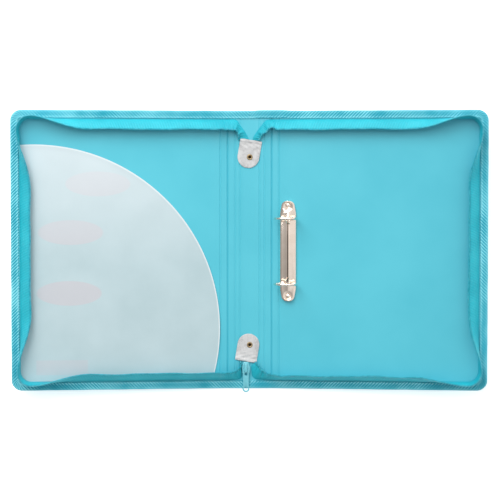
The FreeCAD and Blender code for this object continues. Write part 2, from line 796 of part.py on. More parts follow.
def rivet_places():
    """The two rivets, in the mechanism's own frame."""
    offset = "(dims.well_offset + dims.rivet_offset)"
    return {"upper": offset, "lower": f"-{offset}"}


# ---------------------------------------------------------------- slider and puller
# Both are built about the slider's middle, with the mouth of the slider towards the foot.

SLIDER_PLACE = move_to("-dims.slider_side", f"dims.slider_inset - {EDGE_Y}", "0")


def slider_body():
    """Two wings, the post between them and the bridge that holds the puller."""
    half = "dims.slider_width / 2"
    end = "dims.slider_length / 2"
    low = f"({SHEET_TOP} + dims.slider_stand)"
    outline = [
        (f"-{half} + dims.slider_taper", end), (f"-{half}", "0"), (f"-{half}", f"-{end}"),
        (half, f"-{end}"), (half, "0"), (f"{half} - dims.slider_taper", end),
    ]
    lower = prism("wing", outline, low, "dims.slider_plate")
    upper_z = f"{low} + dims.slider_plate + dims.slider_mouth"
    upper = prism("wing", outline, upper_z, "dims.slider_plate")
    wide = "dims.divider_width / 2"
    narrow = "dims.divider_tip / 2"
    start = f"-{end} + dims.divider_start"
    post = prism("post", [
        (f"-{wide}", start), (wide, start), (narrow, f"{start} + dims.divider_length"),
        (f"-{narrow}", f"{start} + dims.divider_length"),
    ], f"{low} + dims.slider_plate / 2", "dims.slider_mouth + dims.slider_plate")
    bridge = new_body("bridge")
    sketch = new_sketch(bridge, "YZ_Plane")
    reach = "dims.bridge_length / 2"
    foot = f"({BRIDGE_FOOT} - dims.slider_plate / 2)"
    crown = f"({BRIDGE_FOOT} + dims.bridge_room + dims.bridge_thick)"
    under = f"({BRIDGE_FOOT} + dims.bridge_room)"
    inside = f"({reach} - dims.bridge_thick - 0.2)"
    add_polygon(sketch, [
        (f"-{reach}", foot), (f"-{inside}", foot), (f"-{inside}", under), (inside, under),
        (inside, foot), (reach, foot), (reach, crown), (f"-{reach}", crown),
    ])
    pad(bridge, sketch, "dims.bridge_width", midplane=True)
    return fuse("slider", [lower, upper, post, bridge])


PULLER_PIVOT_Y = "(-dims.bridge_length / 2 + dims.bridge_thick + 1.4)"
PULLER_PIVOT_Z = f"({BRIDGE_FOOT} + dims.bridge_room / 2)"


def puller():
    """A flat puller with an eye round the bridge and a ring end, hanging to the foot."""
    half = "dims.puller_width / 2"
    top = f"({PULLER_PIVOT_Y} + dims.puller_thick / 2)"
    hole_y = f"({PULLER_PIVOT_Y} - dims.puller_reach)"
    low = f"({PULLER_PIVOT_Z} - dims.puller_thick / 2)"
    body = prism("puller", rectangle(f"-{half}", top, half, hole_y), low, "dims.puller_thick")
    sketch = new_sketch(body, "XY_Plane", low)
    add_circle(sketch, "0", hole_y, "dims.puller_ring")
    pad(body, sketch, "dims.puller_thick")
    eye_top = f"({PULLER_PIVOT_Y} - dims.puller_thick / 2)"
    eye = "dims.puller_eye_width / 2"
    high = f"({low} + dims.puller_thick)"
    sketch = new_sketch(body, "XY_Plane", high)
    add_polygon(sketch, rectangle(f"-{eye}", f"{eye_top} - dims.puller_eye_length", eye, eye_top))
    add_circle(sketch, "0", hole_y, "dims.puller_hole")
    pocket(body, sketch, "2 * dims.puller_thick")
    droop = turn_about("0", PULLER_PIVOT_Y, PULLER_PIVOT_Z, "1; 0; 0", "dims.puller_droop")
    return group("hanging", [body], droop)


# ---------------------------------------------------------------- assembly

def build_sheet_and_binding():
    """The three panels and the binding round them."""
    spine = spine_panel()
    keep("spine_panel", spine)
    keep("spine_binding_head", spine_binding(1, spine))
    keep("spine_binding_foot", spine_binding(-1, spine))
    front = cover_panel(-1)
    keep_on_cover("front_cover_panel", -1, front)
    keep_on_cover("front_binding", -1, cover_binding(-1, front))
    back = cover_panel(1)
    keep_on_cover("back_binding", 1, cover_binding(1, back))
    spots = [
        (MECH_X, f"({y} - dims.fittings_drop)") for y in rivet_places().values()
    ]
    drill(back, spots, "dims.rivet_shank", SHEET_TOP, "2 * dims.sheet_thick")
    keep_on_cover("back_cover_panel", 1, back)


def build_zip():
    """Both zip halves, their gathered ends, the slider and the puller."""
    zip_half("front", -1)
    zip_half("back", 1)
    for word, end in (("head", 1), ("foot", -1)):
        place = move_to(*tab_centre(end), "0", "-dims.tab_turn")
        for half, side in (("front", -1), ("back", 1)):
            keep(f"zip_end_{half}_{word}", zip_end(end, side), place)
    keep("zip_slider", slider_body(), SLIDER_PLACE)
    keep("zip_puller", puller(), SLIDER_PLACE)


def build_tabs():
    """The two end tabs and their eyelets."""
    for word, end in (("head", 1), ("foot", -1)):
        place = move_to(*tab_centre(end), "0", "-dims.tab_turn")
        keep(f"tab_{word}", tab(end), place)
        keep(f"tab_eyelet_{word}", eyelet(), move_to(*eyelet_place(end), "0"))


def build_mechanism():
    """Cover plate, blades, four ring halves, rivets and washers."""
    keep_on_mechanism("ring_cover_plate", cover_plate())
    for word, side in (("left", -1), ("right", 1)):
        wire = ring_half(side)
        rings = []
        for place, end in (("upper", 1), ("lower", -1)):
            ring = ring_in_place(wire, end)
            rings.append(ring)
            keep_on_mechanism(f"ring_{word}_{place}", ring)
        keep_on_mechanism(f"ring_blade_{word}", blade(side, rings))
    for place, y in rivet_places().items():
        keep_on_mechanism(f"rivet_{place}", group("set", [rivet()], move_to("0", y, "0")))
        keep_on_mechanism(
            f"rivet_washer_{place}", group("set", [washer()], move_to("0", y, "0"))
        )


build_sheet_and_binding()
keep_on_cover("pocket_film", -1, pocket_film())
build_zip()
build_tabs()
build_mechanism()
doc.recompute()

faults = [
    f"{item.Label}: {state}"
    for item in doc.Objects
    for state in item.State
    if state in ("Invalid", "Error")
]
for piece in nodes:
    if piece.Shape.isNull() or not piece.Shape.isValid() or not piece.Shape.Solids:
        faults.append(f"{piece.Label}: bad shape")
if faults:
    raise RuntimeError("; ".join(faults))

os.makedirs("parts", exist_ok=True)
for piece in nodes:
    piece.Shape.exportStep(os.path.join("parts", piece.Label + ".step"))
    box = piece.Shape.BoundBox
    print(
        f"{piece.Label:22s} solids {len(piece.Shape.Solids)} "
        f"x {box.XMin:8.2f} {box.XMax:8.2f} y {box.YMin:8.2f} {box.YMax:8.2f} "
        f"z {box.ZMin:6.2f} {box.ZMax:6.2f} volume {piece.Shape.Volume:9.1f}"
    )
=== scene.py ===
import json
import math

import bpy
from mathutils import Matrix, Vector

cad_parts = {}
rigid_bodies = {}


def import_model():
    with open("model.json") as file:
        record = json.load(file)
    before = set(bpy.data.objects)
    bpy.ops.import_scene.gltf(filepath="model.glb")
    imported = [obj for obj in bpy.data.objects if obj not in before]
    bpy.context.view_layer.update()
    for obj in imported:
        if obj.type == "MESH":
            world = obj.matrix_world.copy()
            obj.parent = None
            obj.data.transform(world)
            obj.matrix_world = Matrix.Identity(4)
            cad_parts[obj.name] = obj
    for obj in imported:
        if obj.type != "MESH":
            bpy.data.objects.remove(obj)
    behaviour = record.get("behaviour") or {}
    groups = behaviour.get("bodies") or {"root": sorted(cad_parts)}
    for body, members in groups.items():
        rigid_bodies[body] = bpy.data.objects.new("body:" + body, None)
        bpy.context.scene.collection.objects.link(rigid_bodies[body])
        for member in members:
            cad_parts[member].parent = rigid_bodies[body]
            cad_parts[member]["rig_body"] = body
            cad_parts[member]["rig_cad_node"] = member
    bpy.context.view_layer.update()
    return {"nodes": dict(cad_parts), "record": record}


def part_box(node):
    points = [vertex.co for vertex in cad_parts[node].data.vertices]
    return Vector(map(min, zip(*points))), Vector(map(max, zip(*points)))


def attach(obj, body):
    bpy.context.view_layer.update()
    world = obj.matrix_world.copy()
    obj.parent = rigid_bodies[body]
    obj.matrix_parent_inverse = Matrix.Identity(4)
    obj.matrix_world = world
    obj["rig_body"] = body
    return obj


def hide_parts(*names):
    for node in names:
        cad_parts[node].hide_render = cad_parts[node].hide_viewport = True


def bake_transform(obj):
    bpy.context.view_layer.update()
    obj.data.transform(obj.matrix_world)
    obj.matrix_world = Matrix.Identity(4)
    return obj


# An open zip-around ring binder: one folded plastic sheet bound in woven tape, with a zip wall
# round each cover, a ring mechanism, a frosted corner pocket and two leatherette tabs.

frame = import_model()

book = {
    "coverWidth": 0.263,  # folding crease to outer edge
    "lift": 5.4,  # degrees that each cover springs up
    "cornerRadius": 0.013,
    "hingeHalf": 0.0002,  # half of the thinned strip between spine and cover
    "edgeInset": 0.0006,  # the sheet stops short of the binding's outer edge
}
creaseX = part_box("spine_panel")[1].x + book["hingeHalf"]
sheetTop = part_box("spine_panel")[1].z
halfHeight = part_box("front_binding")[1].y
edgeX = creaseX + book["coverWidth"]
liftAngle = math.radians(book["lift"])


def deselectAll():
    if bpy.context.object and bpy.context.object.mode != "OBJECT":
        bpy.ops.object.mode_set(mode="OBJECT")
    bpy.ops.object.select_all(action="DESELECT")


def pickOnly(piece):
    deselectAll()
    piece.select_set(True)
    bpy.context.view_layer.objects.active = piece


def rename(piece, name):
    piece.name = name
    piece.data.name = name


def smoothStep(low, high, value):
    share = min(1.0, max(0.0, (value - low) / (high - low)))
    return share * share * (3 - 2 * share)


def raised(point, softness=0.0005):
    # turns a level point up with its cover, starting at the crease
    side = 1 if point.x > 0 else -1
    reach = abs(point.x) - creaseX
    angle = liftAngle * smoothStep(-softness, softness, reach)
    rise = point.z - sheetTop
    x = creaseX + reach * math.cos(angle) - rise * math.sin(angle)
    z = sheetTop + reach * math.sin(angle) + rise * math.cos(angle)
    return Vector((side * x, point.y, z))


def faceTowards(piece, wanted):
    # turns an open sheet over if most of it looks the other way
    leaning = sum(face.normal.dot(wanted) * face.area for face in piece.data.polygons)
    if leaning < 0:
        pickOnly(piece)
        bpy.ops.object.mode_set(mode="EDIT")
        bpy.ops.mesh.select_all(action="SELECT")
        bpy.ops.mesh.flip_normals()
        bpy.ops.object.mode_set(mode="OBJECT")


def laidSheet(name, across, along, place, facing=(0, 0, 1)):
    # a grid whose points are laid by place(a, b); a and b are also its UV map
    deselectAll()
    columns = len(across)
    bpy.ops.mesh.primitive_grid_add(x_subdivisions=columns - 1, y_subdivisions=len(along) - 1, size=1)
    piece = bpy.context.object
    rename(piece, name)
    spots = []
    for vertex in piece.data.vertices:
        spots.append((across[vertex.index % columns], along[vertex.index // columns]))
        vertex.co = place(*spots[-1])
    layer = piece.data.uv_layers.active
    for loop in piece.data.loops:
        layer.data[loop.index].uv = spots[loop.vertex_index]
    piece.data.update()
    faceTowards(piece, Vector(facing))
    return piece


def applyModifier(piece, kind, settings):
    pickOnly(piece)
    modifier = piece.modifiers.new(kind.title(), kind)
    for key, setting in settings.items():
        setattr(modifier, key, setting)
    bpy.ops.object.modifier_apply(modifier=modifier.name)


def closeUp(piece, gap=0.00001):
    # joins touching points and turns every face outwards
    pickOnly(piece)
    bpy.ops.object.mode_set(mode="EDIT")
    bpy.ops.mesh.select_all(action="SELECT")
    bpy.ops.mesh.remove_doubles(threshold=gap)
    bpy.ops.mesh.normals_make_consistent(inside=False)
    bpy.ops.object.mode_set(mode="OBJECT")


def shade(piece, degrees=40):
    pickOnly(piece)
    bpy.ops.object.shade_smooth_by_angle(angle=math.radians(degrees))


def settle(piece):
    pickOnly(piece)
    bpy.ops.object.transform_apply(location=True, rotation=True, scale=True)


def dress(piece, material, slotName):
    piece.data.materials.clear()
    piece.data.materials.append(material)


def copiesOf(pattern, name, places):
    # one joined piece made of copies of the pattern, each with its own mesh
    deselectAll()
    made = []
    for place in places:
        twin = pattern.copy()
        twin.data = pattern.data.copy()
        bpy.context.scene.collection.objects.link(twin)
        twin.data.transform(place)
        made.append(twin)
    bpy.data.objects.remove(pattern)
    for twin in made:
        twin.select_set(True)
    bpy.context.view_layer.objects.active = made[0]
    bpy.ops.object.join()
    piece = bpy.context.object
    rename(piece, name)
    return piece


def refinedCopy(nodeName, name, rounding):
    # a merged copy of a hard part, with the small rounded edges of the real one
    sharp = math.radians(35)
    pickOnly(frame["nodes"][nodeName])
    bpy.ops.object.duplicate()
    piece = bpy.context.object
    piece.parent = None
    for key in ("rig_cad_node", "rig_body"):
        if key in piece:
            del piece[key]
    rename(piece, name)
    if piece.data.has_custom_normals:
        bpy.ops.mesh.customdata_custom_splitnormals_clear()
    bpy.ops.object.mode_set(mode="EDIT")
    bpy.ops.mesh.select_all(action="SELECT")
    bpy.ops.mesh.remove_doubles(threshold=0.000002)
    bpy.ops.mesh.dissolve_limited(angle_limit=math.radians(0.8))
    bpy.ops.object.mode_set(mode="OBJECT")
    applyModifier(piece, "BEVEL", {
        "width": rounding, "segments": 2, "limit_method": "ANGLE", "angle_limit": sharp})
    shade(piece, 38)
    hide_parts(nodeName)
    return piece


def alongEdge(distance, inset, radius, side):
    # a level point on the outline of half the book, measured from the spine's head, and its normal
    run = edgeX - radius
    drop = 2 * (halfHeight - radius)
    bend = math.pi * radius / 2
    if distance <= run:
        x, y, turn = distance, halfHeight, 90.0
    elif distance <= run + bend:
        turn = 90 - math.degrees((distance - run) / radius)
        x = run + radius * math.cos(math.radians(turn))
        y = halfHeight - radius + radius * math.sin(math.radians(turn))
    elif distance <= run + bend + drop:
        x, y, turn = edgeX, halfHeight - radius - (distance - run - bend), 0.0
    elif distance <= run + 2 * bend + drop:
        turn = -math.degrees((distance - run - bend - drop) / radius)
        x = run + radius * math.cos(math.radians(turn))
        y = -halfHeight + radius + radius * math.sin(math.radians(turn))
    else:
        x, y, turn = 2 * run + 2 * bend + drop - distance, -halfHeight, -90.0
    normal = Vector((math.cos(math.radians(turn)), math.sin(math.radians(turn)), 0))
    spot = Vector((x, y, 0)) - normal * inset
    return Vector((side * spot.x, spot.y, 0)), Vector((side * normal.x, normal.y, 0))


def edgeStations(radius, start, coarse, fine):
    # distances along the outline, closer together at the crease and the corners
    run = edgeX - radius
    bend = math.pi * radius / 2
    total = 2 * run + 2 * bend + 2 * (halfHeight - radius)
    busy = [(creaseX - 0.003, creaseX + 0.003), (run, run + bend)]
    busy += [(total - high, total - low) for low, high in busy]
    stations = [start]
    while stations[-1] < total - start:
        here = stations[-1]
        step = coarse
        for low, high in busy:
            if low - coarse < here < high:
                step = fine
        stations.append(min(here + step, total - start))
    return stations


def ripple(distance, spans, shift=0.0):
    # an uneven wave that stays between -1 and 1
    waves = [math.sin(distance / span * 2 * math.pi + shift + 1.7 * i) for i, span in enumerate(spans)]
    return sum(waves) / len(waves)


def linearColour(code):
    channels = [int(code[i:i + 2], 16) / 255 for i in (1, 3, 5)]
    linear = [c / 12.92 if c <= 0.04045 else ((c + 0.055) / 1.055) ** 2.4 for c in channels]
    return (*linear, 1.0)


def plug(tree, node, links):
    # a link comes from a node's first output or from (node, output); anything else is a plain value
    for key, source in links.items():
        if isinstance(source, bpy.types.Node):
            source = (source, 0)
        if isinstance(source, tuple) and isinstance(source[0], bpy.types.Node):
            tree.links.new(source[0].outputs[source[1]], node.inputs[key])
        else:
            node.inputs[key].default_value = source


def addNode(tree, kind, settings=None, links=None, stops=None):
    node = tree.nodes.new("ShaderNode" + kind)
    for key, setting in (settings or {}).items():
        setattr(node, key, setting)
    plug(tree, node, links or {})
    if stops:
        ramp = node.color_ramp.elements
        while len(ramp) < len(stops):
            ramp.new(0.5)
        for element, (place, code) in zip(ramp, stops):
            element.position = place
            element.color = linearColour(code)
    return node


def startFinish(name, fixed):
    # an empty material, its shader with the values that are the same all over, and its coordinates
    material = bpy.data.materials.new(name)
    material.use_nodes = True
    tree = material.node_tree
    shader = tree.nodes["Principled BSDF"]
    plug(tree, shader, fixed)
    coordinates = addNode(tree, "TexCoord")
    return material, tree, shader, (coordinates, "Object")


def extrudedPolypropylene():
    # extruded polypropylene: even satin colour, very faint haze, and painted shade that makes it darker along
    # the folding crease
    material, tree, shader, place = startFinish("extrudedPolypropylene", {"Roughness": 0.46, "IOR": 1.49})
    haze = addNode(tree, "TexNoise", links={"Vector": place, "Scale": 9.0, "Detail": 3.0, "Roughness": 0.6})
    tone = addNode(tree, "ValToRGB", links={"Fac": haze},
                   stops=[(0.3, sheetColours["shade"]), (0.7, sheetColours["main"])])
    parts = addNode(tree, "SeparateXYZ", links={"Vector": place})
    # painted shade: the mix below darkens the colour within about a millimetre of the folding crease
    mirrored = addNode(tree, "Math", {"operation": "ABSOLUTE"}, {0: (parts, "X")})
    fromCrease = addNode(tree, "Math", {"operation": "SUBTRACT"}, {0: mirrored, 1: creaseX})
    away = addNode(tree, "Math", {"operation": "ABSOLUTE"}, {0: fromCrease})
    creaseShadeMask = addNode(tree, "MapRange", {"clamp": True}, {
        "Value": away, "From Min": 0.0002, "From Max": 0.0009, "To Min": 0.35, "To Max": 0.0})
    creaseShaded = addNode(tree, "Mix", {"data_type": "RGBA"}, {
        0: creaseShadeMask, 6: tone, 7: linearColour(sheetColours["creaseShade"])})
    grain = addNode(tree, "TexNoise", links={"Vector": place, "Scale": 1100.0, "Detail": 2.0})
    sway = addNode(tree, "TexNoise", links={"Vector": place, "Scale": 14.0, "Detail": 1.0})
    both = addNode(tree, "Math", {"operation": "MULTIPLY_ADD"}, {0: sway, 1: 8.0, 2: grain})
    bump = addNode(tree, "Bump", links={"Height": both, "Strength": 0.25, "Distance": 0.00012})
    dull = addNode(tree, "MapRange", links={"Value": haze, "To Min": 0.36, "To Max": 0.5})
    plug(tree, shader, {"Base Color": (creaseShaded, 2), "Roughness": dull, "Normal": bump})
    return material


wavePeriod = 0.314  # length of one band of a wave texture at a scale of 1
stripeLook = {"width": 0.011, "even": 0.3}  # width of the striped face, and the grey that changes nothing


def wovenPolyester(name, colours, thread, slope, stripes=None, roughness=0.72):
    # woven polyester, matt: fine slanting ribs; the threads are 0.3 mm, drawn coarser to show
    fixed = {"Roughness": roughness, "IOR": 1.5, "Specular IOR Level": 0.5}
    material, tree, shader, place = startFinish(name, fixed)
    inMillimetres = addNode(tree, "Mapping", links={
        "Vector": (place[0], "UV"), "Scale": (1000, 1000, 1000), "Rotation": (0, 0, math.radians(slope))})
    ribs = addNode(tree, "TexWave", {"wave_type": "BANDS", "bands_direction": "X"}, {
        "Vector": inMillimetres, "Scale": wavePeriod / thread, "Distortion": 0.6,
        "Detail": 1.0, "Detail Scale": 1.5})
    crossing = addNode(tree, "TexWave", {"wave_type": "BANDS", "bands_direction": "Y"}, {
        "Vector": inMillimetres, "Scale": wavePeriod / (thread * 0.55), "Distortion": 0.3})
    weave = addNode(tree, "Math", {"operation": "MULTIPLY_ADD"}, {
        0: (crossing, "Fac"), 1: 0.4, 2: (ribs, "Fac")})
    wear = addNode(tree, "TexNoise", links={"Vector": place, "Scale": 30.0, "Detail": 4.0})
    mixed = addNode(tree, "Math", {"operation": "MULTIPLY_ADD"}, {0: weave, 1: 0.5, 2: wear})
    if stripes:
        # the threads change across the width of the tape: share of the width and a grey for how pale
        across = addNode(tree, "SeparateXYZ", links={"Vector": (place[0], "UV")})
        share = addNode(tree, "Math", {"operation": "DIVIDE"}, {0: (across, "X"), 1: stripeLook["width"]})
        pale = addNode(tree, "ValToRGB", links={"Fac": share}, stops=stripes)
        mixed = addNode(tree, "Math", {"operation": "ADD"}, {0: mixed, 1: pale})
        mixed = addNode(tree, "Math", {"operation": "SUBTRACT"}, {0: mixed, 1: stripeLook["even"]})
    tone = addNode(tree, "ValToRGB", links={"Fac": mixed},
                   stops=[(0.45, colours[0]), (0.8, colours[1]), (1.0, colours[2])])
    bump = addNode(tree, "Bump", links={"Height": weave, "Strength": 0.8, "Distance": 0.0003})
    plug(tree, shader, {"Base Color": tone, "Normal": bump})
    return material


def woundNylon():
    # nylon monofilament wound into a coil: slightly shiny and a little translucent
    fixed = {"Roughness": 0.38, "IOR": 1.53, "Subsurface Weight": 0.1, "Subsurface Scale": 0.001}
    material, tree, shader, place = startFinish("woundNylon", fixed)
    patch = addNode(tree, "TexNoise", links={"Vector": place, "Scale": 220.0, "Detail": 2.0})
    tone = addNode(tree, "ValToRGB", links={"Fac": patch},
                   stops=[(0.3, coilColours[0]), (0.7, coilColours[1])])
    plug(tree, shader, {"Base Color": tone})
    return material


def frostedFilm():
    # cast polypropylene film, frosted on both faces: milky and see-through, with plain printed shapes
    fixed = {"Roughness": 0.5, "IOR": 1.49, "Alpha": filmLook["alpha"]}
    material, tree, shader, place = startFinish("frostedFilm", fixed)
    cloud = addNode(tree, "TexNoise", links={"Vector": place, "Scale": 22.0, "Detail": 4.0})
    tone = addNode(tree, "ValToRGB", links={"Fac": cloud},
                   stops=[(0.25, filmLook["shade"]), (0.75, filmLook["main"])])
    colour = tone
    for middle, size, kind, amount in filmLook["prints"]:
        centred = addNode(tree, "VectorMath", {"operation": "SUBTRACT"}, {0: place, 1: (*middle, 0)})
        scaled = addNode(tree, "VectorMath", {"operation": "MULTIPLY"}, {
            0: centred, 1: (2 / size[0], 2 / size[1], 0)})
        if kind == "oval":
            far = addNode(tree, "VectorMath", {"operation": "LENGTH"}, {0: scaled})
        else:
            split = addNode(tree, "SeparateXYZ", links={"Vector": scaled})
            acrossIt = addNode(tree, "Math", {"operation": "ABSOLUTE"}, {0: (split, "X")})
            upIt = addNode(tree, "Math", {"operation": "ABSOLUTE"}, {0: (split, "Y")})
            far = addNode(tree, "Math", {"operation": "MAXIMUM"}, {0: acrossIt, 1: upIt})
        inside = addNode(tree, "MapRange", {"clamp": True}, {
            "Value": (far, "Value"), "From Min": 0.97, "From Max": 1.03, "To Min": amount, "To Max": 0.0})
        printed = addNode(tree, "Mix", {"data_type": "RGBA"}, {
            0: inside, 6: colour, 7: linearColour(filmLook["ink"])})
        colour = (printed, 2)
    # painted highlight: a pale band along the edge of the pocket's mouth
    across = addNode(tree, "SeparateXYZ", links={"Vector": (place[0], "UV")})
    mouthHighlight = addNode(tree, "MapRange", {"clamp": True}, {
        "Value": (across, "X"), "From Min": 0.9925, "From Max": 0.996, "To Min": 0.0, "To Max": 0.7})
    # painted reflection: the film is drawn paler towards the head, standing for the lamps' light mirrored
    # there
    height = addNode(tree, "SeparateXYZ", links={"Vector": place})
    headwardSheen = addNode(tree, "MapRange", {"clamp": True}, {
        "Value": (height, "Y"), "From Min": -0.02, "From Max": 0.13, "To Min": 0.0, "To Max": 0.65})
    sheened = addNode(tree, "Mix", {"data_type": "RGBA"}, {
        0: headwardSheen, 6: colour, 7: linearColour(filmLook["headwardSheen"])})
    mouthHighlighted = addNode(tree, "Mix", {"data_type": "RGBA"}, {
        0: mouthHighlight, 6: (sheened, 2), 7: linearColour(filmLook["edge"])})
    frost = addNode(tree, "TexNoise", links={"Vector": place, "Scale": 900.0, "Detail": 3.0})
    sag = addNode(tree, "TexNoise", links={"Vector": place, "Scale": 18.0, "Detail": 2.0})
    both = addNode(tree, "Math", {"operation": "MULTIPLY_ADD"}, {0: sag, 1: 9.0, 2: frost})
    bump = addNode(tree, "Bump", links={"Height": both, "Strength": 0.3, "Distance": 0.0002})
    plug(tree, shader, {"Base Color": (mouthHighlighted, 2), "Normal": bump})
    return material


def embossedLeatherette():
    # embossed leatherette: pebbled grain of about 0.9 mm, soft satin coat, with painted shade making it grey
    # in the grain's creases
    material, tree, shader, place = startFinish("embossedLeatherette", {"Roughness": 0.55, "IOR": 1.48})
    pebbles = addNode(tree, "TexVoronoi", {"feature": "DISTANCE_TO_EDGE"}, {
        "Vector": place, "Scale": 850.0, "Randomness": 0.9})
    dirt = addNode(tree, "TexNoise", links={"Vector": place, "Scale": 160.0, "Detail": 5.0})
    grainAndCreaseShade = addNode(tree, "Math", {"operation": "MULTIPLY_ADD"}, {
        0: (pebbles, "Distance"), 1: 0.95, 2: dirt})
    # painted shade: the colour follows the grain and turns grey in its creases
    tone = addNode(tree, "ValToRGB", links={"Fac": grainAndCreaseShade},
                   stops=[(0.38, tabColours[0]), (0.6, tabColours[1]), (0.9, tabColours[2])])
    bump = addNode(tree, "Bump", links={"Height": grainAndCreaseShade, "Strength": 0.6, "Distance": 0.0003})
    plug(tree, shader, {"Base Color": tone, "Normal": bump})
    return material


def platedMetal(name, colours, roughness, fold=None):
    # bright plating over pressed steel: mirror-like, with faint drawing lines and handling marks
    material, tree, shader, place = startFinish(name, {"Metallic": 1.0})
    drawn = addNode(tree, "Mapping", links={"Vector": place, "Scale": (6, 1, 6)})
    lines = addNode(tree, "TexNoise", links={"Vector": drawn, "Scale": 500.0, "Detail": 2.0})
    marks = addNode(tree, "TexNoise", links={"Vector": place, "Scale": 90.0, "Detail": 4.0})
    tone = addNode(tree, "ValToRGB", links={"Fac": marks}, stops=[(0.3, colours[0]), (0.7, colours[1])])
    colour = tone
    if fold:
        # painted reflection: the plating is drawn dark along the sharp fold, standing for the dark
        # surroundings it mirrors
        parts = addNode(tree, "SeparateXYZ", links={"Vector": place})
        beside = addNode(tree, "Math", {"operation": "SUBTRACT"}, {0: (parts, "X"), 1: fold["x"]})
        away = addNode(tree, "Math", {"operation": "ABSOLUTE"}, {0: beside})
        line = addNode(tree, "MapRange", {"clamp": True}, {
            "Value": away, "From Min": fold["half"], "From Max": fold["half"] * 2,
            "To Min": 0.9, "To Max": 0.0})
        lengthwise = addNode(tree, "Math", {"operation": "SUBTRACT"}, {0: (parts, "Y"), 1: fold["y"]})
        along = addNode(tree, "Math", {"operation": "ABSOLUTE"}, {0: lengthwise})
        within = addNode(tree, "Math", {"operation": "LESS_THAN"}, {0: along, 1: fold["reach"]})
        both = addNode(tree, "Math", {"operation": "MULTIPLY"}, {0: line, 1: within})
        varied = addNode(tree, "Mix", {"data_type": "RGBA"}, {
            0: both, 6: colour, 7: linearColour(fold["colour"])})
        colour = (varied, 2)
    dull = addNode(tree, "MapRange", links={
        "Value": marks, "From Min": 0.3, "From Max": 0.7,
        "To Min": roughness, "To Max": roughness * 1.6})
    bump = addNode(tree, "Bump", links={"Height": lines, "Strength": 0.08, "Distance": 0.00005})
    plug(tree, shader, {"Base Color": colour, "Roughness": dull, "Normal": bump})
    return material


def bakedLacquer():
    # baked enamel over cast zinc: even colour, glossy coat, a little orange peel
    fixed = {"Roughness": 0.35, "IOR": 1.5, "Coat Weight": 0.5, "Coat Roughness": 0.15}
    material, tree, shader, place = startFinish("bakedLacquer", fixed)
    peel = addNode(tree, "TexNoise", links={"Vector": place, "Scale": 700.0, "Detail": 2.0})
    tone = addNode(tree, "ValToRGB", links={"Fac": peel},
                   stops=[(0.3, lacquerColours[0]), (0.7, lacquerColours[1])])
    bump = addNode(tree, "Bump", links={"Height": peel, "Strength": 0.15, "Distance": 0.0001})
    plug(tree, shader, {"Base Color": tone, "Normal": bump})
    return material


# the third sheet colour is painted shade for the folding crease
sheetColours = {"shade": "#4cbccf", "main": "#56c4d6", "creaseShade": "#0a9db4"}
coilColours = ("#17a3b6", "#43bfd0")
tabColours = ("#aeaeaf", "#c6c6c6", "#d8d8d8")
lacquerColours = ("#69c3d2", "#79cfdc")
filmLook = {
    "alpha": 0.84,
    "main": "#c8dde2",
    "shade": "#bcd3d8",
    "ink": "#d6cdd3",
    # the edge colour is a painted highlight along the mouth
    "edge": "#f6fbfc",
    # the milk colour is a painted reflection towards the head
    "headwardSheen": "#eaf4f8",
    # plain shapes: middle, size, kind and how strong
    "prints": [
        ((-0.184, 0.081), (0.078, 0.030), "oval", 0.6),
        ((-0.217, 0.022), (0.078, 0.030), "oval", 0.6),
        ((-0.219, -0.052), (0.078, 0.030), "oval", 0.6),
        ((-0.228, -0.1425), (0.062, 0.018), "panel", 0.4),
    ],
}
sheetFinish = extrudedPolypropylene()
bandStripes = [(0.0, "#b0b0b0"), (0.22, "#a4a4a4"), (0.38, "#747474"), (0.62, "#747474"), (0.85, "#a0a0a0")]
bandFinish = wovenPolyester("twillWovenBinding", ("#008ea6", "#18aec3", "#8adde9"), 2.8, 45, bandStripes)
tapeFinish = wovenPolyester("plainWovenZipTape", ("#00a4b8", "#00b2c6", "#2ac4d4"), 1.9, 78, None, 0.5)
# painted shade: the stitches are real, but their thread is drawn darker than the binding so the row also
# stands for the shadow line along the seam
seamShadeThreadFinish = wovenPolyester("twistedSewingThreadSeamShade", ("#0292a8", "#12a3b8", "#34b6c8"), 0.6, 30)
coilFinish = woundNylon()
filmFinish = frostedFilm()
leatherFinish = embossedLeatherette()
nickelFinish = platedMetal("nickelPlatedSteel", ("#f6e5d6", "#fff0e3"), 0.09)
# painted reflection: the dark line along the cover plate's fold
foldReflection = {
    "x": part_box("ring_cover_plate")[0].x + 0.0095,
    "y": -0.0011,
    "half": 0.0005,  # half of the line's width
    "reach": 0.0378,  # half of its length
    "colour": "#5b4537",
}
plateFinish = platedMetal("nickelPlatedFoldedSteel", ("#f6e5d6", "#fff0e3"), 0.09, foldReflection)
eyeletFinish = platedMetal("brassPlatedEyelet", ("#94805f", "#b39c78"), 0.28)
# painted shade: the inside of the eyelet's bore is drawn near black
boreShadeFinish = platedMetal("brassBoreShade", ("#2a2116", "#3b2f20"), 0.45)
lacquerFinish = bakedLacquer()
print("finishes made")


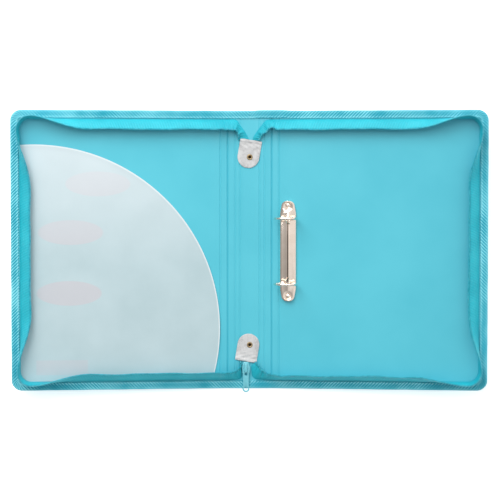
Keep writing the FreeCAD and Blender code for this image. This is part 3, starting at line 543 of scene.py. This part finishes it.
# the folded plastic sheet, in two halves that meet on the middle of the spine
sheet = {
    "thickness": 0.0012,
    "creaseDepth": 0.00062,
    "troughDepth": 0.00034,  # the plastic dishes either side of a folding crease
    "troughHalf": 0.0062,
    "creaseHalf": 0.0009,
    "lip": 0.00018,  # plastic pushed up beside a pressed line
    # pressed lines: place, half width and depth
    "lines": [(0.012, 0.0007, 0.0003), (0.018, 0.0007, 0.0003), (0.036, 0.0009, 0.0005)],
    # columns of points: the first one off the middle, one inside the trough, and those round a line
    "firstColumn": 0.006,
    "troughColumn": 0.004,
    "lineColumns": (-2.2, -1.5, -1, -0.5, 0, 0.5, 1, 1.5, 2.2),
    "coverStep": 0.014,
    "rimReach": 0.0125,  # columns crowd together over this much of the rounded edge
    "rows": 70,
    "sway": 0.00018,  # the covers are not quite flat
    "swayWaves": (31, 23),  # radians to a metre, across and along
    "swayStarts": (0.04, 0.09),
    "bend": 0.002,  # the sheet bends over this much each side of a crease
    "lowest": 0.0003,  # thinned from above, so the sheet stays off the table
}


def sheetProfile(x):
    height = sheetTop
    away = abs(x - creaseX) / sheet["troughHalf"]
    if away < 1:
        height -= sheet["troughDepth"] * (1 - away)
    grooves = [(creaseX, sheet["creaseHalf"], sheet["creaseDepth"])] + sheet["lines"]
    for middle, half, depth in grooves:
        away = abs(x - middle) / half
        if away < 1:
            height -= depth * (1 - away * away)
        elif away < 2:
            height += sheet["lip"] * math.sin((away - 1) * math.pi)
    return height


def makeSheetHalf(name, side, cover):
    across = [0.0, sheet["firstColumn"]]
    trough, column = sheet["troughHalf"], sheet["troughColumn"]
    swayAcross, swayAlong = sheet["swayWaves"]
    crease = (creaseX, sheet["creaseHalf"], sheet["creaseDepth"])
    for middle, half, _ in [*sheet["lines"][:2], crease, sheet["lines"][2]]:
        if middle == creaseX:
            across += [middle - trough, middle - column]
        across += [middle + half * k for k in sheet["lineColumns"]]
        if middle == creaseX:
            across += [middle + column, middle + trough]
    inner = edgeX - book["edgeInset"]
    reach = across[-1]
    while reach + sheet["coverStep"] < inner - sheet["coverStep"]:
        reach += sheet["coverStep"]
        across.append(reach)
    across += [inner - sheet["rimReach"] * (1 - k / 8) ** 2 for k in range(9)]
    along = [-1 + 2 * k / sheet["rows"] for k in range(sheet["rows"] + 1)]

    def place(x, share):
        radius = book["cornerRadius"] - book["edgeInset"]
        into = max(0.0, x - (inner - radius))
        top = halfHeight - book["edgeInset"] - (radius - math.sqrt(max(0.0, radius ** 2 - into ** 2)))
        y = share * top
        sway = sheet["sway"] * math.sin(x * swayAcross + 1) * math.sin(y * swayAlong + side)
        sway *= smoothStep(*sheet["swayStarts"], x)
        return raised(Vector((side * x, y, sheetProfile(x) + sway)))

    piece = laidSheet(name, across, along, place)
    applyModifier(piece, "SOLIDIFY", {"thickness": sheet["thickness"], "offset": -1.0})
    closeUp(piece)
    for vertex in piece.data.vertices:
        vertex.co.z = max(vertex.co.z, sheet["lowest"])
    shade(piece, 30)
    dress(piece, sheetFinish, "sheet_polypropylene")
    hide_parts(f"{cover}_panel", "spine_panel")
    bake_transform(piece)


makeSheetHalf("sheetLeft", -1, "front_cover")
makeSheetHalf("sheetRight", 1, "back_cover")
print("sheet made")


# woven binding folded round the edge, and its stitching, whose dark thread is partly painted shade for the
# seam
binding = {
    "profile": [
        (0.0098, 0.00175), (0.0097, 0.0022), (0.0094, 0.00238), (0.0088, 0.00222), (0.0081, 0.00232),
        (0.0055, 0.00248), (0.0025, 0.0025), (0.0008, 0.0023), (0.0001, 0.0018), (0.0, 0.0012),
        (0.0001, 0.0006), (0.0008, 0.0001), (0.003, 0.00002), (0.0094, 0.00002), (0.0100, 0.0002),
        (0.0101, 0.00062),
    ],
    "coarse": 0.006,
    "fine": 0.0012,
    "thickness": 0.00045,
    "middle": 0.0012,  # the profile above this height lies on top of the sheet
    "pucker": (0.00028, 2100),  # height, and radians to a metre, of the creases round a corner
    "varied": (0.00016, (0.043, 0.027, 0.071)),  # how uneven the outer edge is, and the lengths of its waves
    "overlap": (0.008, 0.047),  # where the two ends of the tape overlap, from the middle
    "overlapOut": 0.0009,
    "overlapUp": 0.0006,
    "stitchSize": (0.0025, 0.0011, 0.0006),
    "stitchRow": 2,  # the point of the profile that the seam runs along
    "stitchStart": 0.002,
    "stitchStep": 0.0031,
    "stitchLift": 0.0002,
    "lookAhead": 0.001,  # a stitch points at the place this much further on
    "bend": 0.003,  # the binding bends over this much each side of a crease
}


def bindingPlace(side):
    radius = book["cornerRadius"]

    def place(index, distance):
        inset, height = binding["profile"][int(round(index))]
        spot, normal = alongEdge(distance, inset, radius, side)
        onTop = 1 if height > binding["middle"] else 0
        bend = 1 if abs(normal.x) > 0.01 and abs(normal.y) > 0.01 else 0
        rise, pace = binding["pucker"]
        pucker = bend * onTop * rise * math.sin(distance * pace) * smoothStep(0.002, 0.009, inset)
        unevenness, spans = binding["varied"]
        varied = unevenness * ripple(distance, spans, inset * 90)
        doubled = 0.0
        if side > 0:
            low, high = binding["overlap"]
            doubled = smoothStep(low - 0.002, low, distance) * (1 - smoothStep(high, high + 0.0008, distance))
        spot += normal * (varied + binding["overlapOut"] * doubled)
        spot.z = height + onTop * (pucker + binding["overlapUp"] * doubled + abs(varied) * 0.6)
        return raised(spot)

    return place


def makeBinding(name, side, parts):
    stations = edgeStations(book["cornerRadius"], 0.0, binding["coarse"], binding["fine"])
    rows = list(range(len(binding["profile"])))
    # the underside is a little wider than the top, so the band as a whole faces down
    piece = laidSheet(name, rows, stations, bindingPlace(side), (0, 0, -1))
    # the map's first direction follows the width of the tape
    reach = [0.0]
    for (insetA, heightA), (insetB, heightB) in zip(binding["profile"], binding["profile"][1:]):
        reach.append(reach[-1] + math.hypot(insetA - insetB, heightA - heightB))
    for item in piece.data.uv_layers.active.data:
        item.uv = (reach[int(round(item.uv[0]))], item.uv[1])
    applyModifier(piece, "SOLIDIFY", {"thickness": binding["thickness"], "offset": -1.0})
    applyModifier(piece, "SUBSURF", {"levels": 1, "render_levels": 1})
    closeUp(piece)
    shade(piece, 50)
    dress(piece, bandFinish, "woven_binding")
    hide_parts(*parts)
    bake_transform(piece)


def makeStitches(name, side):
    deselectAll()
    bpy.ops.mesh.primitive_uv_sphere_add(segments=6, ring_count=4, radius=0.5)
    stitch = bpy.context.object
    stitch.scale = binding["stitchSize"]
    settle(stitch)
    start = binding["stitchStart"]
    step = binding["stitchStep"]
    row = binding["stitchRow"]
    end = edgeStations(book["cornerRadius"], start, binding["coarse"], binding["fine"])[-1]
    layAt = bindingPlace(side)
    places = []
    for k in range(int((end - 2 * start) / step)):
        distance = start + k * step
        here = layAt(row, distance)
        ahead = (layAt(row, distance + binding["lookAhead"]) - here).normalized()
        up = Vector((-math.sin(liftAngle) * side if abs(here.x) > creaseX else 0, 0, 1)).normalized()
        sideways = up.cross(ahead).normalized()
        turn = Matrix((ahead, sideways, up)).transposed().to_4x4()
        places.append(Matrix.Translation(here + up * binding["stitchLift"]) @ turn)
    piece = copiesOf(stitch, name, places)
    shade(piece, 60)
    dress(piece, seamShadeThreadFinish, "woven_binding")
    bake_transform(piece)


spineParts = ["spine_binding_head", "spine_binding_foot"]
makeBinding("bindingLeft", -1, ["front_binding", *spineParts])
makeBinding("bindingRight", 1, ["back_binding", *spineParts])
makeStitches("stitchesLeft", -1)
makeStitches("stitchesRight", 1)
print("binding made")


# zip walls: each tape stands on its seam, leans in along the sides and opens out at the corners
zipWall = {
    "seamInset": 0.0103,
    "seamRadius": 0.0243,
    "seamLift": 0.0002,
    "coarse": 0.0045,
    "fine": 0.0018,
    "width": 0.0162,
    "thickness": 0.0008,
    "lean": {"head": 49.0, "side": 50.0, "leftFoot": 36.0, "rightFoot": 25.0},
    "cornerLean": -7.0,
    "leanRipple": 3.2,  # degrees
    "leanSpans": (0.083, 0.047, 0.137),
    "settling": 0.068,  # length over which the wall stands up to a corner
    "begin": 0.036,  # the gathered ends start here, from the middle of the spine
    "endSteps": 5,  # columns from one key of a gathered end to the next
    "endStep": 0.0016,
    "endFold": 0.0017,  # height of the small folds in the gathered ends
    "endFoldSpans": (0.0061, 0.0112, 0.0174),
    "endZone": (0.030, 0.050),  # the gathered ends pass into the wall between these
    "endBeyond": 0.13,  # and lie further than this from the middle of the book
    "bend": (0.017, 0.035),  # the ends bend between these distances from the middle
    "shares": [0.0, 0.08, 0.2, 0.35, 0.5, 0.65, 0.8, 0.92, 1.0],
    "belly": 0.0011,
    "bellySpans": (0.061, 0.029),
    "toothStep": 0.00165,
    "toothRadius": 0.0009,
    "toothWire": 0.00042,
    "coilOut": 0.0008,  # the coil's middle beyond the tape
    "cordRadius": 0.0007,
}
# free ends, each from the cover to its tab: places on the seam line and on the coil edge, in mm
zipEnds = {
    "leftHead": [((-27, 160.3, 1.9), (-27, 148.2, 12.2)), ((-16.5, 160, 1.9), (-20, 147.6, 10.8)),
                 ((-11.5, 153.5, 2), (-15.4, 146.4, 8.6)), ((-6, 146, 2), (-13.2, 142.8, 6.2)),
                 ((-2.5, 140, 2), (-12.4, 139, 4.6)), ((-0.6, 135, 2.2), (-12, 135, 3.2))],
    "rightHead": [((27, 160.2, 1.9), (27.5, 150.4, 12.4)), ((20, 159, 2), (23.5, 148.6, 11)),
                  ((13.5, 151.5, 2), (18.5, 144.5, 8.6)), ((8.4, 144.5, 2), (14.2, 140.8, 6.6)),
                  ((4.6, 138.6, 2.1), (12.2, 137.5, 5)), ((3.6, 134.5, 2.2), (11, 134.6, 3.4))],
    "leftFoot": [((-27, -160.2, 1.9), (-27, -150.6, 12.8)), ((-20, -160.2, 1.9), (-20.6, -150.2, 12)),
                 ((-14, -159.8, 2), (-15.4, -147.8, 10.4)), ((-10, -157.5, 2), (-12, -145.2, 8.8)),
                 ((-9.2, -151, 2.1), (-10.6, -142.6, 7)), ((-9.8, -141, 2.2), (-11, -137.8, 3.6))],
    "rightFoot": [((27, -160.2, 1.9), (27, -152.4, 13.6)), ((19, -160.2, 1.9), (21, -151.4, 12.6)),
                  ((11.5, -160, 2), (16, -148.6, 10.6)), ((6, -158.6, 2), (12, -144.6, 8.4)),
                  ((2.8, -154, 2.1), (8.8, -141.2, 6.2)), ((1.8, -142.5, 2.2), (6.4, -138.4, 3.6))],
}


def throughPoints(points, steps):
    # a smooth run of places through the given ones
    padded = [points[0] * 2 - points[1], *points, points[-1] * 2 - points[-2]]
    run = []
    for a, b, c, d in zip(padded, padded[1:], padded[2:], padded[3:]):
        for k in range(steps):
            t = k / steps
            run.append(0.5 * (2 * b + (c - a) * t + (2 * a - 5 * b + 4 * c - d) * t * t
                              + (3 * b - a - 3 * c + d) * t * t * t))
    run.append(points[-1])
    return run


def wallColumns(side, word):
    # (seam place, coil place, distance) round half the book, from head tab to foot tab
    radius = zipWall["seamRadius"]
    run = edgeX - radius
    bend = math.pi * radius / 2
    drop = 2 * (halfHeight - radius)
    total = 2 * run + 2 * bend + drop
    columns = []
    for distance in edgeStations(radius, zipWall["begin"], zipWall["coarse"], zipWall["fine"]):
        foot, normal = alongEdge(distance, zipWall["seamInset"], radius, side)
        foot.z = sheetTop + zipWall["seamLift"]
        nearest = min(abs(distance - run - bend / 2), abs(distance - total + run + bend / 2)) - bend / 2
        share = smoothStep(0.0, zipWall["settling"], nearest)
        stretch = "head" if distance < run + bend / 2 else "side"
        if distance > total - run - bend / 2:
            stretch = word + "Foot"
        lean = zipWall["cornerLean"] + (zipWall["lean"][stretch] - zipWall["cornerLean"]) * share
        lean += zipWall["leanRipple"] * ripple(distance, zipWall["leanSpans"], side) * share
        slope = math.radians(lean)
        width = zipWall["width"]
        top = foot - normal * (width * math.sin(slope)) + Vector((0, 0, width * math.cos(slope)))
        columns.append((foot, top, distance))
    head = [(Vector(a) / 1000, Vector(b) / 1000) for a, b in zipEnds[word + "Head"]]
    foot = [(Vector(a) / 1000, Vector(b) / 1000) for a, b in zipEnds[word + "Foot"]]
    before = [columns[0][:2], *head]
    after = [columns[-1][:2], *foot]
    ends = []
    for pairs in (before, after):
        seams = throughPoints([pair[0] for pair in pairs], zipWall["endSteps"])[1:]
        coils = throughPoints([pair[1] for pair in pairs], zipWall["endSteps"])[1:]
        ends.append(list(zip(seams, coils)))
    step = zipWall["endStep"]
    full = []
    distance = columns[0][2]
    for k, (seam, coil) in enumerate(ends[0]):
        full.insert(0, (seam, coil, distance - (k + 1) * step))
    full += columns
    distance = columns[-1][2]
    full += [(seam, coil, distance + (k + 1) * step) for k, (seam, coil) in enumerate(ends[1])]
    return full


def wallSurface(side, word):
    columns = wallColumns(side, word)

    def place(share, index):
        seam, coil, distance = columns[int(round(index))]
        across = coil - seam
        level = Vector((across.x, across.y, 0))
        outward = Vector((0, 0, 0))
        if level.length > 0.0001:
            outward = Vector((0, 0, 1)) * level.length - level.normalized() * across.z
        if outward.length > 0:
            outward.normalize()
        atEnd = abs(seam.y) > zipWall["endBeyond"]
        near = smoothStep(*zipWall["endZone"], abs(seam.x)) if atEnd else 1.0
        belly = zipWall["belly"] * (0.5 + 0.5 * near) * (1 + 0.5 * ripple(distance, zipWall["bellySpans"]))
        fold = (1 - near) * share * zipWall["endFold"]
        fold *= ripple(distance, zipWall["endFoldSpans"], 2 * side)
        spot = seam + across * share + outward * (4 * belly * share * (1 - share) + fold)
        return raised(spot, 0.006)

    return columns, place


def makeZipHalf(side, word, wording):
    columns, place = wallSurface(side, word)
    shares = zipWall["shares"]
    indexes = list(range(len(columns)))
    title = word.capitalize()
    tape = laidSheet("zipTape" + title, shares, indexes, place)
    for item in tape.data.uv_layers.active.data:
        item.uv = (item.uv[0] * zipWall["width"], columns[int(round(item.uv[1]))][2])
    applyModifier(tape, "SOLIDIFY", {"thickness": zipWall["thickness"], "offset": -1.0})
    applyModifier(tape, "SUBSURF", {"levels": 1, "render_levels": 1})
    closeUp(tape)
    shade(tape, 60)
    dress(tape, tapeFinish, "zip_tape")
    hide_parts(f"zip_tape_{wording}", f"zip_end_{wording}_head", f"zip_end_{wording}_foot")
    deselectAll()
    # one tooth of the coil, copied along the tape's edge
    bpy.ops.mesh.primitive_torus_add(
        major_segments=8, minor_segments=4, major_radius=zipWall["toothRadius"],
        minor_radius=zipWall["toothWire"], rotation=(0, math.pi / 2, 0))
    tooth = bpy.context.object
    tooth.scale = (1.15, 1, 1)
    settle(tooth)
    places = []
    gone = 0.0
    for k in range(len(columns) - 1):
        here = place(1.0, k)
        ahead = place(1.0, k + 1)
        below = place(0.92, k)
        span = (ahead - here).length
        while gone <= span:
            spot = here.lerp(ahead, gone / span)
            direction = (ahead - here).normalized()
            up = (here - below).normalized()
            sideways = direction.cross(up).normalized()
            up = sideways.cross(direction).normalized()
            turn = Matrix((direction, sideways, up)).transposed().to_4x4()
            places.append(Matrix.Translation(spot + up * zipWall["coilOut"]) @ turn)
            gone += zipWall["toothStep"]
        gone -= span
    coil = copiesOf(tooth, "zipCoil" + title, places)
    shade(coil, 70)
    dress(coil, coilFinish, "zip_coil")
    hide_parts(f"zip_coil_{wording}")
    # a filler cord runs through the coil
    ring = [k * math.pi / 3 for k in range(7)]

    def cordPlace(angle, index):
        index = int(round(index))
        low = place(0.92, index)
        high = place(1.0, index)
        up = (high - low).normalized()
        nearby = place(1.0, min(index + 1, len(columns) - 1)) - place(1.0, max(index - 1, 0))
        sideways = nearby.normalized().cross(up).normalized()
        radial = up * math.cos(angle) + sideways * math.sin(angle)
        return high + up * zipWall["coilOut"] + radial * zipWall["cordRadius"]

    filler = laidSheet("zipCord" + title, ring, indexes, cordPlace)
    closeUp(filler)
    shade(filler, 60)
    dress(filler, coilFinish, "zip_coil")
    for piece in (tape, coil, filler):
        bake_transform(piece)
    length = sum((place(0.5, k + 1) - place(0.5, k)).length for k in range(len(columns) - 1))


makeZipHalf(-1, "left", "front")
makeZipHalf(1, "right", "back")
print("zip made")


# frosted pocket over the front cover's lower outer corner
pocket = {
    "inset": 0.0112,
    "corner": 0.0125,
    "mouthRadius": 0.225,
    "mouthSide": 0.0285,  # centre of the mouth, from the outer edge
    "mouthFoot": 0.074,  # and from the foot
    "thickness": 0.0003,
    "float": 0.0004,
    "billow": 0.0011,
    "billowWaves": (26, 17),  # radians to a metre, across and along
    "loose": 0.06,  # the film is free this far from its weld
    "lip": 0.0003,  # the mouth's edge curls up
}


def makePocket():
    cornerX = -edgeX + pocket["inset"]
    cornerY = -halfHeight + pocket["inset"]
    centre = Vector((-edgeX + pocket["mouthSide"], -halfHeight + pocket["mouthFoot"], 0))
    rounding = pocket["corner"]
    pace = pocket["billowWaves"]
    angles = [math.pi / 2 * k / 72 for k in range(73)]
    shares = [1 - (1 - k / 40) ** 1.25 for k in range(40)] + [0.993, 0.9965, 1.0]

    def place(share, angle):
        aim = Vector((math.cos(angle), math.sin(angle), 0))
        start = Vector((cornerX, cornerY, 0))
        spread = aim.x + aim.y
        near = rounding * (spread - math.sqrt(max(0.0, spread * spread - 1)))
        toCentre = centre - start
        middle = aim.dot(toCentre)
        far = middle + math.sqrt(max(0.0, middle * middle - toCentre.length_squared
                                     + pocket["mouthRadius"] ** 2))
        spot = start + aim * (near + (far - near) * share)
        fromWeld = min(spot.x - cornerX, spot.y - cornerY)
        loose = smoothStep(0.0, pocket["loose"], fromWeld)
        swell = pocket["billow"] * loose * (0.7 + 0.3 * math.sin(spot.x * pace[0] + spot.y * pace[1]))
        lip = pocket["lip"] * smoothStep(0.985, 0.996, share)
        spot.z = sheetTop + pocket["float"] + swell + lip
        return raised(spot)

    film = laidSheet("pocketFilm", shares, angles, place)
    applyModifier(film, "SOLIDIFY", {"thickness": pocket["thickness"], "offset": 1.0})
    closeUp(film)
    shade(film, 30)
    dress(film, filmFinish, "frosted_film")
    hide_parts("pocket_film")
    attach(film, "front_cover")


makePocket()
print("pocket made")


# leatherette tabs with their eyelets
tab = {
    "half": 0.0135,
    "straight": 0.021,
    "turn": -9.5,
    "thickness": 0.0013,
    "top": 0.0034,
    "rim": 0.0006,  # the edge rolls down by this much
    "crumple": 0.00035,
    "crumpleStarts": (0.006, 0.014),
    "hem": 0.0006,
    "hemStarts": (0.0172, 0.0182),
    "dimple": 0.00012,
    "centres": {1: (-0.0013, 0.1141), -1: (-0.0013, -0.1163)},
}
eyelet = {
    "flangeRadius": 0.0025,
    "flangeRoll": 0.0009,
    "flangeScale": (1.05, 1.05, 0.75),
    "sunk": 0.0003,  # middle of the flange, below its top
    "boreRadius": 0.0018,
    "boreWall": 0.0003,
    # painted shade: the disc over the bore is near black, standing for the dark depth of the hole
    "floor": 0.0003,  # the dark disc that stands for the depth of the bore
}


def tabPlacement(end):
    x, y = tab["centres"][end]
    return Matrix.Translation((x, y, 0)) @ Matrix.Rotation(math.radians(tab["turn"]), 4, "Z")


def makeTab(name, end, nodeName, body):
    placement = tabPlacement(end)
    half = tab["half"]
    across = [-1, -0.985, -0.95, -0.88, *[k / 12 for k in range(-9, 10)], 0.88, 0.95, 0.985, 1]
    along = [-half * math.cos(k * math.pi / 28) for k in range(1, 15)]
    along += [tab["straight"] * k / 22 for k in range(1, 23)]

    def place(share, run):
        width = half if run > 0 else math.sqrt(max(0.0, half * half - run * run))
        rim = max(abs(share) ** 10, 0 if run > 0 else (-run / half) ** 10)
        soft = math.sin(run * 900 + share * 2) * math.sin(share * 5 + run * 300)
        crumple = tab["crumple"] * soft * smoothStep(*tab["crumpleStarts"], run)
        hem = tab["hem"] * smoothStep(*tab["hemStarts"], run)
        dimple = tab["dimple"] * math.sin(share * 3 + run * 200)
        top = tab["top"] - tab["rim"] * rim + crumple + hem + dimple
        return placement @ Vector((share * width, end * run, top))

    piece = laidSheet(name, across, along, place)
    closeUp(piece, 0.00002)
    faceTowards(piece, Vector((0, 0, 1)))
    applyModifier(piece, "SOLIDIFY", {"thickness": tab["thickness"], "offset": -1.0})
    applyModifier(piece, "SUBSURF", {"levels": 1, "render_levels": 1})
    closeUp(piece, 0.000001)
    shade(piece, 60)
    dress(piece, leatherFinish, "white_leatherette")
    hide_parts(nodeName)
    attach(piece, body)


def makeEyelet(name, nodeName):
    low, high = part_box(nodeName)
    middle = (low + high) / 2
    crown = (middle.x, middle.y, high.z - eyelet["sunk"])
    bore = eyelet["boreRadius"]
    deselectAll()
    bpy.ops.mesh.primitive_torus_add(
        major_segments=40, minor_segments=12, major_radius=eyelet["flangeRadius"],
        minor_radius=eyelet["flangeRoll"], location=crown)
    flange = bpy.context.object
    rename(flange, name)
    flange.scale = eyelet["flangeScale"]
    settle(flange)
    bpy.ops.mesh.primitive_cylinder_add(
        vertices=40, radius=bore, depth=high.z - low.z, end_fill_type="NOTHING", location=middle)
    barrel = bpy.context.object
    applyModifier(barrel, "SOLIDIFY", {"thickness": eyelet["boreWall"], "offset": 0.0})
    # painted shade: a dark disc closes the bore
    bpy.ops.mesh.primitive_cylinder_add(vertices=40, radius=bore, depth=eyelet["floor"], location=crown)
    shadeDisc = bpy.context.object
    pickOnly(barrel)
    shadeDisc.select_set(True)
    bpy.ops.object.join()
    rename(barrel, name + "Bore")
    settle(barrel)
    for bit, finish in ((flange, eyeletFinish), (barrel, boreShadeFinish)):
        shade(bit, 50)
        dress(bit, finish, "nickel_eyelet")
        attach(bit, "spine")
    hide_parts(nodeName)


makeTab("tabHead", 1, "tab_head", "spine")
makeTab("tabFoot", -1, "tab_foot", "spine")
makeEyelet("eyeletHead", "tab_eyelet_head")
makeEyelet("eyeletFoot", "tab_eyelet_foot")
print("tabs made")


# ring mechanism, slider and puller
# for each node: the piece's name, its edges' rounding, its body, finish and slot
hardParts = {
    "ring_cover_plate": ("ringCoverPlate", 0.00028, "back_cover", plateFinish, "nickel_plated_steel"),
    "rivet_upper": ("rivetUpper", 0.0003, "back_cover", nickelFinish, "nickel_plated_steel"),
    "rivet_lower": ("rivetLower", 0.0003, "back_cover", nickelFinish, "nickel_plated_steel"),
    "zip_slider": ("zipSlider", 0.00045, "spine", lacquerFinish, "lacquered_slider"),
    "zip_puller": ("zipPuller", 0.0003, "puller", lacquerFinish, "lacquered_slider"),
}
for nodeName, (name, rounding, body, finish, slotName) in hardParts.items():
    part = refinedCopy(nodeName, name, rounding)
    dress(part, finish, slotName)
    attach(part, body)

slotOf = {entry["node"]: entry["material_slot"] for entry in frame["record"]["subparts"]}
finishOf = {
    "sheet_polypropylene": sheetFinish,
    "woven_binding": bandFinish,
    "zip_tape": tapeFinish,
    "zip_coil": coilFinish,
    "frosted_film": filmFinish,
    "white_leatherette": leatherFinish,
    "nickel_eyelet": eyeletFinish,
    "nickel_plated_steel": nickelFinish,
    "lacquered_slider": lacquerFinish,
}
for nodeName, node in frame["nodes"].items():
    node.data.materials.clear()
    node.data.materials.append(finishOf[slotOf[nodeName]])
print("metal parts finished")


# floor, light and camera
studio = {
    "floorSize": 40.0,
    "floorColour": "#f7f7f7",
    "floorGlow": 0.45,
    "sky": [(0.12, "#a6a6a6"), (0.46, "#e4e4e4"), (0.56, "#ffffff")],  # dim to the left, pale to the right
    "skyFoot": 0.4,
    "skyHead": 1.3,
    "lamps": [((-0.75, 1.5, 1.3), 1.2, 25.0), ((-0.6, 0.8, 1.95), 0.8, 8.5)],  # place, size, watts
    "cameraPlace": (0.0006, 0.067, 1.745),
    "cameraTilt": -2.2,
    "lens": 102.3,
}
deselectAll()
bpy.ops.mesh.primitive_plane_add(size=studio["floorSize"], location=(0, 0, -0.0003))
floor = bpy.context.object
floor.name = "studioFloor"
settle(floor)
floorFinish, floorTree, floorShader, floorPlace = startFinish("mattPaperSweep", {
    "Roughness": 0.9, "Emission Color": (1, 1, 1, 1), "Emission Strength": studio["floorGlow"]})
floorNoise = addNode(floorTree, "TexNoise", links={"Vector": floorPlace, "Scale": 3.0})
floorTone = addNode(floorTree, "ValToRGB", links={"Fac": floorNoise},
                    stops=[(0.3, studio["floorColour"]), (0.7, "#fafafa")])
plug(floorTree, floorShader, {"Base Color": floorTone})
floor.data.materials.append(floorFinish)

sky = bpy.data.worlds.new("softSky")
bpy.context.scene.world = sky
sky.use_nodes = True
skyLight = sky.node_tree.nodes["Background"]
aim = addNode(sky.node_tree, "TexCoord")
aimParts = addNode(sky.node_tree, "SeparateXYZ", links={"Vector": (aim, "Generated")})
aimShare = addNode(sky.node_tree, "MapRange", links={
    "Value": (aimParts, "X"), "From Min": -1.0, "From Max": 1.0, "To Min": 0.0, "To Max": 1.0})
skyTone = addNode(sky.node_tree, "ValToRGB", links={"Fac": aimShare}, stops=studio["sky"])
skyPower = addNode(sky.node_tree, "MapRange", links={
    "Value": (aimParts, "Y"), "From Min": -1.0, "From Max": 1.0,
    "To Min": studio["skyFoot"], "To Max": studio["skyHead"]})
plug(sky.node_tree, skyLight, {"Color": skyTone, "Strength": skyPower})

for number, (spot, size, power) in enumerate(studio["lamps"]):
    bpy.ops.object.light_add(type="AREA", location=spot)
    lamp = bpy.context.object
    lamp.name = f"softLamp{number + 1}"
    lamp.data.energy = power
    lamp.data.size = size
    lamp.rotation_euler = (-lamp.location).to_track_quat("-Z", "Y").to_euler()

tilt = math.radians(studio["cameraTilt"])
bpy.ops.object.camera_add(location=studio["cameraPlace"], rotation=(tilt, 0, 0))
camera = bpy.context.object
camera.name = "camera"
camera.data.lens = studio["lens"]
camera.data.sensor_width = 36.0
camera.data.clip_end = 50.0
bpy.context.scene.camera = camera
bpy.context.scene.view_settings.view_transform = "Standard"
print("studio made")
